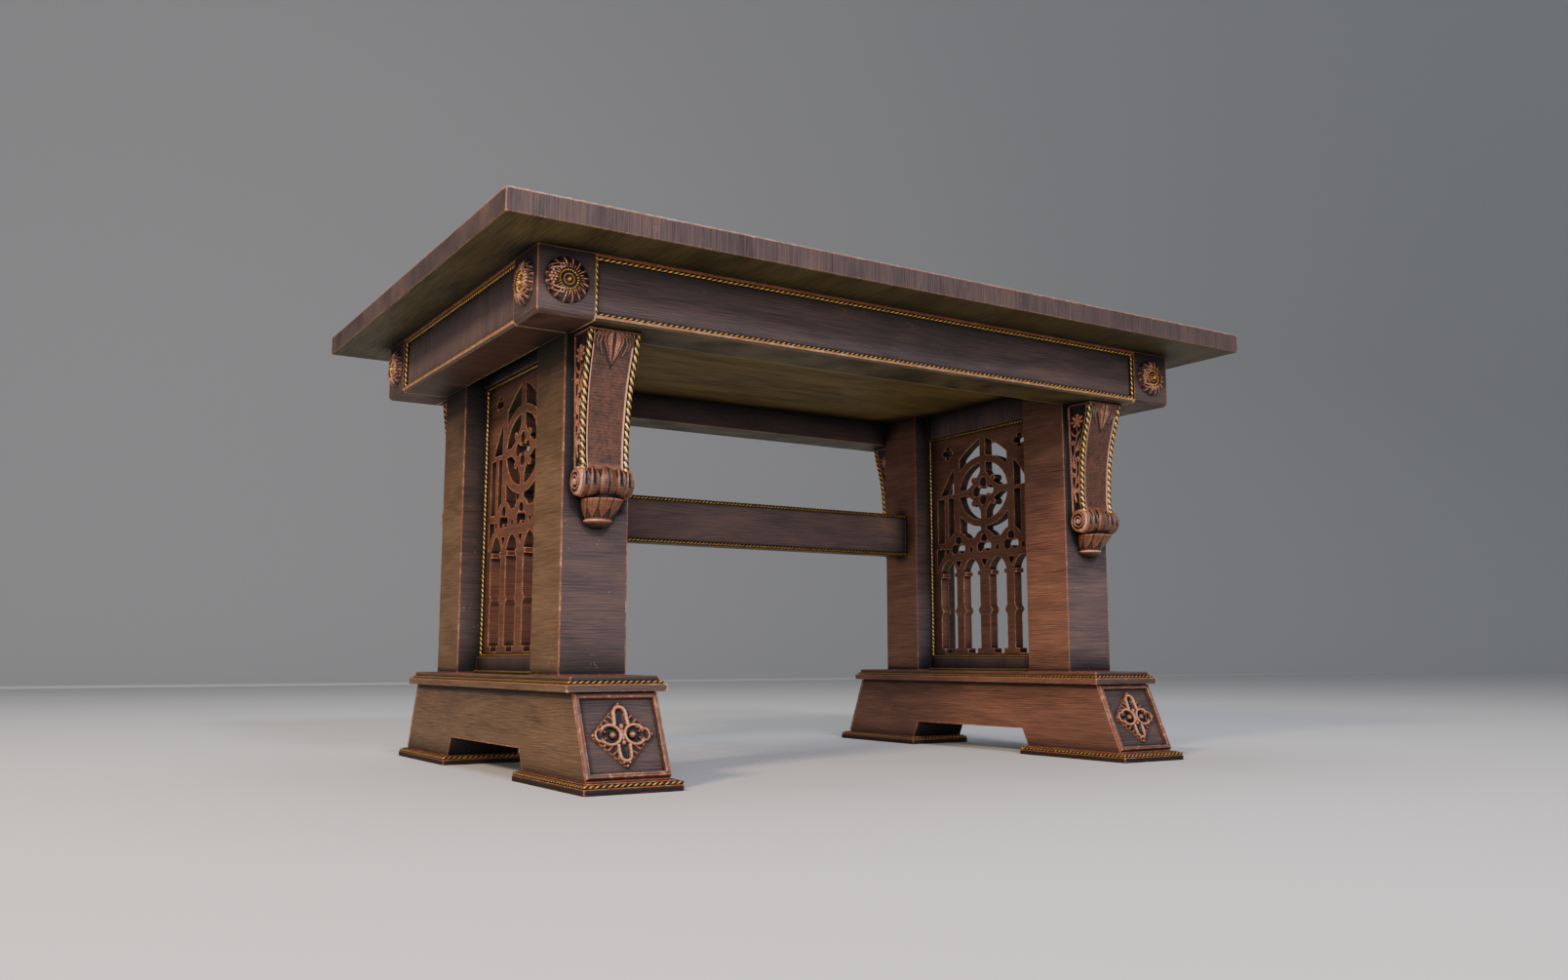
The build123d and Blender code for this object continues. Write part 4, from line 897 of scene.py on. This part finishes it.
def bracket_roll(plan):
    """The scroll: a barrel whose ends turn in by a round shoulder to a flat disc that
    carries a raised spiral of two and a half turns round a small eye."""
    spokes = 96
    shoulder = np.linspace(0, pi / 2, 8)
    disc = np.linspace(1, 0, 34)[1:]
    half = plan.roll_half
    big = plan.roll_radius
    radius = np.concatenate([big - 5 + 5 * np.cos(shoulder), (big - 5) * disc])
    along = np.concatenate([half - 7 + 5 * np.sin(shoulder), np.full(len(disc), half - 2.0)])
    turn = full_turn(spokes)
    rr, tt = np.meshgrid(radius, turn, indexing="ij")
    spiral = np.cos(2 * pi * (rr / 6.6) - tt)
    flat = smooth_step(big - 4.5, big - 7, rr)
    lift = flat * (1.5 * spiral - 0.6) + 1.4 * smooth_step(4.4, 2.0, rr)
    xx = np.minimum(along[:, None] + lift, half)
    mark_end = np.where(flat > 0.5, 0.40 + 0.42 * spiral, 0.80)
    mark_end = np.where(rr < 3.4, 0.95, mark_end)
    waist = np.linspace(half - 7, 7 - half, 40)[1:-1]
    wr = np.full((len(waist), spokes), big) - 0.8 * np.cos(waist / (half - 7) * pi / 2)[:, None]
    wx = np.broadcast_to(waist[:, None], wr.shape)
    wm = 0.12 + 0.50 * smooth_step(half - 12, half - 8, np.abs(wx))
    all_r = np.concatenate([rr[::-1], wr, rr])
    all_x = np.concatenate([xx[::-1], wx, -xx])
    all_m = np.concatenate([mark_end[::-1], wm, mark_end])
    tt = np.broadcast_to(turn[None, :], all_r.shape)
    points = np.stack([all_x, plan.roll_y + all_r * np.cos(tt), plan.roll_z + all_r * np.sin(tt)], -1)
    return Skin(points, all_m, wrap_columns=True)


PETAL_ROWS, PETAL_COLUMNS = 90, 150
SHEET_TOP = 468.0
CUP_TOP, CUP_RIM, CUP_OUT, CUP_RIM_OUT, CUP_NECK_R = 415.5, 386.0, 24.0, 8.5, 20.0


def petal_sheet(plan):
    """The lotus leaves on the front of the scroll, as heights over a sheet that runs down
    the body's face and round the roll. Along a leaf the share t runs from its point to
    the foot of the sheet; its half width is w sin(pi t / 1.04)^1.2 up to the broadest
    place and narrows by a quarter below. Across it the height is that of a half round
    with a sunk rib or, on the side leaves, a long hollow in the upper half."""
    bend = np.radians(np.linspace(56, -82, 70))
    above = np.linspace(SHEET_TOP, plan.roll_z + plan.roll_radius * sin(bend[0]), 30)[:-1]
    line_y = np.concatenate([plan.depth(above) - 1.2, plan.roll_y + plan.roll_radius * np.cos(bend)])
    line_z = np.concatenate([above, plan.roll_z + plan.roll_radius * np.sin(bend)])
    spacing = np.concatenate([[0], np.cumsum(np.hypot(np.diff(line_y), np.diff(line_z)))])
    run = np.linspace(0, spacing[-1], PETAL_ROWS)
    line_y, line_z = np.interp(run, spacing, line_y), np.interp(run, spacing, line_z)
    for _ in range(12):
        line_y[1:-1] = (line_y[:-2] + line_y[1:-1] + line_y[2:]) / 3
        line_z[1:-1] = (line_z[:-2] + line_z[1:-1] + line_z[2:]) / 3
    step_y, step_z = np.gradient(line_y), np.gradient(line_z)
    length = np.hypot(step_y, step_z)
    out_y, out_z = -step_z / length, step_y / length
    edge = plan.roll_half - 5
    x = np.linspace(-edge, edge, PETAL_COLUMNS)
    xx, ss = np.meshgrid(x, run, indexing="ij")
    height = np.full(xx.shape, -2.5)
    mark = np.full(xx.shape, 0.05)
    leaves = [(0.0, 14.5, 1.5, 7.0, 1)]
    for side in (-1, 1):
        leaves.append((side * 21.4, 8.4, 3.5, 5.6, 0))
        leaves.append((side * 34.6, 6.8, 7.5, 4.6, 0))
    for middle, half, tip, high, main in leaves:
        t = np.clip((ss - tip) / (run[-1] - tip), 0, 1)
        grow = np.sin(pi / 2 * np.clip(t / 0.52, 0, 1)) ** 1.2
        width = half * grow * (1 - 0.25 * np.clip((t - 0.55) / 0.45, 0, 1) ** 1.5) + 0.001
        u = (xx - middle) / width
        body = high * (0.50 + 0.50 * np.sin(pi * np.clip(t, 0, 1) ** 0.8))
        leaf = body * np.sqrt(np.clip(1 - u ** 2, 0, 1)) ** 0.8
        rib = 2.4 * np.exp(-(((xx - middle) / 1.0) ** 2)) * smooth_step(0.06, 0.2, t)
        in_hollow = smooth_step(0.10, 0.22, t) * smooth_step(0.62, 0.45, t)
        hollow = 3.0 * np.exp(-((u / 0.40) ** 4)) * in_hollow
        sunk = rib if main else hollow
        inside = (np.abs(u) < 1) & (t > 0)
        leaf = np.where(inside, leaf - sunk, -2.5)
        lip = 0.30 * np.exp(-(((np.abs(u) - 0.80) / 0.12) ** 2)) * (1 - 0.6 * t)
        # Painted shade: sunk ribs and hollows, and the edges where leaves meet, are marked darker.
        shade = 0.52 + lip - 0.20 * sunk - 0.55 * smooth_step(0.93, 0.99, np.abs(u))
        height, mark = laid_over(height, mark, leaf, shade)
    front = np.stack([xx, line_y + height * out_y, line_z + height * out_z], -1)
    back = np.stack([xx, line_y - 5 * out_y + 0 * xx, line_z - 5 * out_z + 0 * xx], -1)
    points = np.concatenate([front, back[:, ::-1]], 1)
    return Skin(points, np.concatenate([mark, np.full(xx.shape, 0.05)], 1), wrap_columns=True, lids=True)


def bracket_drop(plan):
    """The drop under the scroll: a leaning cup with pointed leaves cut in it, a thin rim
    and a round tip, pressed flat against the leg. Leaf k is as wide as its ninth of the
    turn down to half the height, and narrows to a point below; cuts darkened with painted
    shade part them."""
    rows, spokes, leaves = 84, 216, 9
    down = np.linspace(0, 1, rows)
    z = CUP_TOP - (CUP_TOP - plan.drop_foot) * down
    turn = full_turn(spokes)
    rim = (CUP_TOP - CUP_RIM) / (CUP_TOP - plan.drop_foot)
    tip_from = rim + 0.065
    cup = np.clip(down / rim, 0, 1)
    radius = np.where(down < rim, 31.6 - 11.6 * cup, 21.3)
    tip = np.sqrt(np.clip(1 - ((down - tip_from) / (1 - tip_from)) ** 2, 0, 1))
    radius = np.where(down > tip_from, 2.0 + 18.0 * tip, radius)
    centre = CUP_OUT - (CUP_OUT - CUP_RIM_OUT) * cup
    dd, tt = np.meshgrid(cup, turn, indexing="ij")
    u = np.abs(((tt / (2 * pi) * leaves) % 1) * 2 - 1)
    leaf_half = 1 - 0.95 * np.clip((dd - 0.45) / 0.55, 0, 1) ** 1.3
    groove = np.exp(-(((u - leaf_half) / 0.09) ** 2))
    behind = smooth_step(leaf_half, leaf_half + 0.05, u)
    vein = 0.5 * np.exp(-((u / 0.08) ** 2)) * smooth_step(0.9, 0.5, dd)
    on_cup = (down < rim)[:, None] * 1.0
    cut = (1.5 * groove + 0.8 * behind + vein) * on_cup * smooth_step(0.98, 0.90, dd)
    swell = 1.6 * np.sin(pi * dd) * on_cup
    rr = np.maximum(radius[:, None] - cut + swell - 0.6 * on_cup, 0.0)
    rr[-1] = 0.0
    x = rr * np.cos(tt)
    y = np.maximum(centre[:, None] + rr * np.sin(tt), 0.05)
    # Painted shade: the cuts between leaves are marked darker.
    cup_mark = 0.66 - 0.36 * cut
    rim_mark = np.where((down < tip_from)[:, None], 0.88, 0.46)
    mark = np.where(on_cup > 0, cup_mark, rim_mark)
    points = np.stack([x, y, np.broadcast_to(z[:, None], x.shape)], -1)
    neck_y = CUP_OUT + CUP_NECK_R * np.sin(turn)
    neck_x = CUP_NECK_R * np.cos(turn)
    ends = (plan.drop_top, CUP_TOP)
    neck = [np.stack([neck_x, neck_y, np.full(spokes, end)], -1) for end in ends]
    points = np.concatenate([neck, points])
    mark = np.concatenate([np.full((2, spokes), 0.2), mark])
    return Skin(points, mark, wrap_columns=True, lids=True)


def bracket_rope_path(plan, side):
    """The line of one corner rope, just inside the corner of the bracket."""
    z = np.linspace(plan.cap_low, plan.foot, 150)
    x = side * (plan.half_width(z) - ROPE_SEAT)
    return np.stack([x, plan.depth(z) - ROPE_SEAT, z], -1)


def make_brackets(carved_wood, gilt):
    """Four brackets with their scrolls, petals, drops and corner ropes."""
    plan = BracketPlan()
    console = [bracket_body(plan), bracket_cap(plan), bracket_roll(plan), petal_sheet(plan)]
    drop = [bracket_drop(plan)]
    rope_skins = []
    for side_name, side in SIDES.items():
        for face_name, face in FACES.items():
            origin = (side * plan.middle, face * plan.wall, 0)
            place = on_plane(origin, (-side, 0, 0), (0, face, 0), (0, 0, 1))
            spot = f"{face_name}_{side_name}"
            for name, node, parts in (("bracket", "bracket", console), ("drop", "bracket_drop", drop)):
                skins = [skin.placed(place) for skin in parts]
                make_piece(f"{name}_carved_{spot}", skins, carved_wood, [f"{node}_{spot}"])
            for edge in (-1, 1):
                rope = rope_skin(bracket_rope_path(plan, edge), 4.15, 23.2, -side * face)
                rope_skins.append(rope.placed(place))
    make_piece("bracket_rope_twists", rope_skins, gilt, ["bracket_rope_beads"])


# ------------------------------------------------------------------ foot ornaments

ORNAMENT_GRID = 180
ORNAMENT_HALF = 49.0
RIB_PLACES = (11.0, 17.2, 23.4, 29.6, 35.8)
TIP_BEADS = ((0, 45.2), (4.6, 40.2))
FOOT_RUN, FOOT_RISE = 52.9, 120.0
FRAME_THICK = 6.0


def loop_line(reach, mouth, middle, radius, squash, way):
    """A loop open at one end: two straight legs joined by a half turn, above or below."""
    bend = arc(0, way * middle, radius, 0, way * 180, 16, squash)
    legs = [(reach, way * mouth[0]), (mouth[2], way * mouth[1])]
    return np.concatenate([legs, bend, [(-x, y) for x, y in legs[::-1]]])


def ornament_height(a, b, half):
    """Height and mark over the pierced diamond: a loop above and another below, a ringed
    eye on each side, fat ribs square to the edges, and beads at the tips, all carved as
    strands over a thin plate that is sunk where it is pierced and darkened there with
    painted shade, in place of the open holes."""
    u, v = np.abs(a), np.abs(b)
    edge = half - (u + v)
    ribs = [[(half - q - 9.0, q - 8.0), (half - q - 2.0, q - 2.0)] for q in RIB_PLACES]
    h = heap(*(stroke(u, v, rib, 2.7, 5.2, 1.15) for rib in ribs))
    pierced = (u / 5.2) ** 2 + ((b - np.where(b > 0, 29.0, -27.0)) / 9.5) ** 2 < 1
    eye_hole = ((u - 19.0) / 12.5) ** 2 + (v / 10.5) ** 2 < 1
    h = heap(
        np.where(pierced, 0, h),
        stroke(a, b, loop_line(10.5, (15.5, 24.0, 9.6), 31, 9.4, 1.05, 1), 4.0, 7.6),
        stroke(a, b, loop_line(8.8, (15.0, 25.0, 8.8), 29.5, 8.4, 1.0, -1), 3.8, 7.4),
        dome(np.hypot(u - 10.3, b - 16.5), 4.8, 7.8),
    )
    h = heap(
        np.where(eye_hole, 0, h),
        stroke(u, v, arc(19.0, 0, 15.8, 196, 40, 24, 0.90), 3.5, 7.8, 0.9),
        dome(np.hypot(u - 29.5, v - 8.2), 3.9, 7.0),
        dome(np.hypot(u - 26.6, v - 4.6), 2.9, 6.0),
        stroke(u, v, arc(35.0, 0, 6.2, 0, 125, 14, 1.35), 2.7, 6.6),
    )
    end_hole = np.hypot((u - 34.6) / 0.9, v) < 3.0
    h = heap(
        np.where(end_hole, 0, h),
        dome(np.hypot(u - 15.2, v), 6.4, 8.4),
        dome(np.hypot(a / 0.75, b - 12.0), 6.2, 7.6),
        dome(np.hypot(a, b + 11.5), 4.6, 7.6),
        stroke(a, b, [(0, 6), (0, -6)], 3.4, 7.0),
    )
    for x, y in TIP_BEADS:
        upright, sideways = np.hypot(u - x, v - y), np.hypot(u - y, v - x)
        h = heap(h, dome(upright, 3.0, 6.4), dome(sideways, 2.9, 6.2))
    # Painted shade: the sunk plate in the piercings is marked dark in place of open holes.
    holes = pierced | eye_hole
    height = np.maximum(h, np.where(holes, 0.8, 2.4)) * smooth_step(0.0, 1.4, edge)
    mark = np.clip(0.20 + (h - 2.4) / 7.0, 0.02, 1)
    mark = np.where(edge < 2.2, np.maximum(mark, 0.55), mark)
    return height, np.where(holes, np.clip((h - 2.0) / 7.0, 0.0, 1), mark)


def make_ornaments(carved_wood):
    """A pierced diamond carving on each of the four battered foot ends. The grid is a
    square turned on its corner, so that its border is the diamond's own edge."""
    half = ORNAMENT_HALF
    share = np.linspace(-1, 1, ORNAMENT_GRID)
    p, q = np.meshgrid(share, share, indexing="ij")
    a, b = (p - q) / 2 * half, (p + q) / 2 * half
    height, mark = ornament_height(a, b, half)
    rim = np.maximum(np.abs(p), np.abs(q)) > 0.999
    height[rim] = 0
    skin = Skin(np.stack([a, b, height], -1), mark)
    n = ORNAMENT_GRID
    border = [k for k in range(n)] + [k * n + n - 1 for k in range(1, n)]
    border += [(n - 1) * n + k for k in range(n - 2, -1, -1)] + [k * n for k in range(n - 2, 0, -1)]
    skin.faces.append(border)
    tilt = np.array([FOOT_RUN, FOOT_RISE]) / np.hypot(FOOT_RUN, FOOT_RISE)
    for side_name in SIDES:
        for face_name, face in FACES.items():
            spot = f"{face_name}_{side_name}"
            low, high = corners(f"end_panel_frame_{spot}")
            up = np.array([0, -face * tilt[0], tilt[1]])
            out = np.array([0, face * tilt[1], tilt[0]])
            right = np.array([-face, 0, 0])
            place = on_plane((low + high) / 2 - out * FRAME_THICK / 2, right, up, out)
            name, node = f"ornament_carved_{spot}", f"diamond_ornament_{spot}"
            make_piece(name, [skin.placed(place)], carved_wood, [node])


# ------------------------------------------------------------------ table

def paint_nodes(finishes):
    """Give every CAD node that still shows a finish, by the start of its name."""
    for name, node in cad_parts.items():
        for start, material in finishes:
            if name.startswith(start):
                node.data.materials.clear()
                node.data.materials.append(material)
                break


make_camera()
make_studio()

gilt = gilding("gilt_strands", (0.64, 0.36, 0.05), (0.004, 0.005, 0.006), 0.22)
# Painted reflection: the top rope's low strands are blue-grey, a painted sheen of the sky on the gilt.
sky_sheen_gilt = gilding("gilt_sky_sheen_strands", (0.42, 0.30, 0.12), (0.10, 0.13, 0.17), 0.3)
carved = carving("rubbed_carving")
front_beams = timber("timber_front_beams", "Z", PLUM)
# Painted light: the stretcher stands in shade inside the frame, so its tones are lifted by 1.7.
rail = timber("timber_stretcher", "Z", lifted(PLUM, 1.7), shift=6.1)
end_beams = timber("timber_end_beams", "Y", lifted(PLUM, 1.35), under=SHADED, shift=3.3)
corners_wood = timber("timber_corner_blocks", "Z", PLUM, under=SHADED, shift=8.1)
slab = timber("timber_slab", "X", PLUM, shift=1.2)
# Painted light: GOLDEN and RUSSET give the side faces of legs and feet a painted warm side light.
left_legs = timber("timber_left_legs", "Z", PLUM, GOLDEN, shift=5.1, upright=-1, wear=1.5, crown_shade=0.7)
# Painted light: the right legs stand in more shade, so their tones are lifted by 1.3.
right_legs = timber(
    "timber_right_legs", "Z", lifted(PLUM, 1.3), RUSSET, shift=9.4, upright=1, wear=1.3, crown_shade=0.35
)
ceiling = timber("timber_soffit", "Y", PLUM, under=FLOOR_BOUNCE_MOSS, wear=0.4, shift=2.2, gloss=0.65)
fret = timber("timber_fret", "Z", lifted(RUSSET, 0.75), shift=4.4, pitch_mm=3.4)
left_foot = timber("timber_left_foot", "Z", PLUM, GOLDEN, shift=7.7)
right_foot = timber("timber_right_foot", "Z", PLUM, RUSSET, shift=0.9)
moulding = timber("rubbed_moulding", "Z", lifted(PLUM, 1.2), wear=1.9, shift=6.6)
beech = plain_stuff("beech_dowel", (0.55, 0.40, 0.26), 0.6)
steel = plain_stuff("zinc_steel", (0.55, 0.55, 0.57), 0.35, 1.0)

paint_nodes([
    ("top_slab", slab),
    ("frieze_beam_front", front_beams),
    ("frieze_beam_back", front_beams),
    ("frieze_beam", end_beams),
    ("corner_block", corners_wood),
    ("soffit", ceiling),
    ("top_cleats", ceiling),
    ("leg_front_left", left_legs),
    ("leg_back_left", left_legs),
    ("leg", right_legs),
    ("stretcher_pegs", beech),
    ("bracket_dowels", beech),
    ("top_fixing_screws", steel),
    ("stretcher", rail),
    ("tracery_panel", fret),
    ("tracery", end_beams),
    ("base_plate_left", left_foot),
    ("base_plate", right_foot),
    ("sledge_left", left_foot),
    ("sledge", right_foot),
    ("foot_pad_front_left", left_foot),
    ("foot_pad_back_left", left_foot),
    ("foot_pad", right_foot),
    ("end_panel_frame", moulding),
])
make_ropes(gilt, sky_sheen_gilt)
make_rosettes(carved, gilt)
make_brackets(carved, gilt)
make_ornaments(carved)
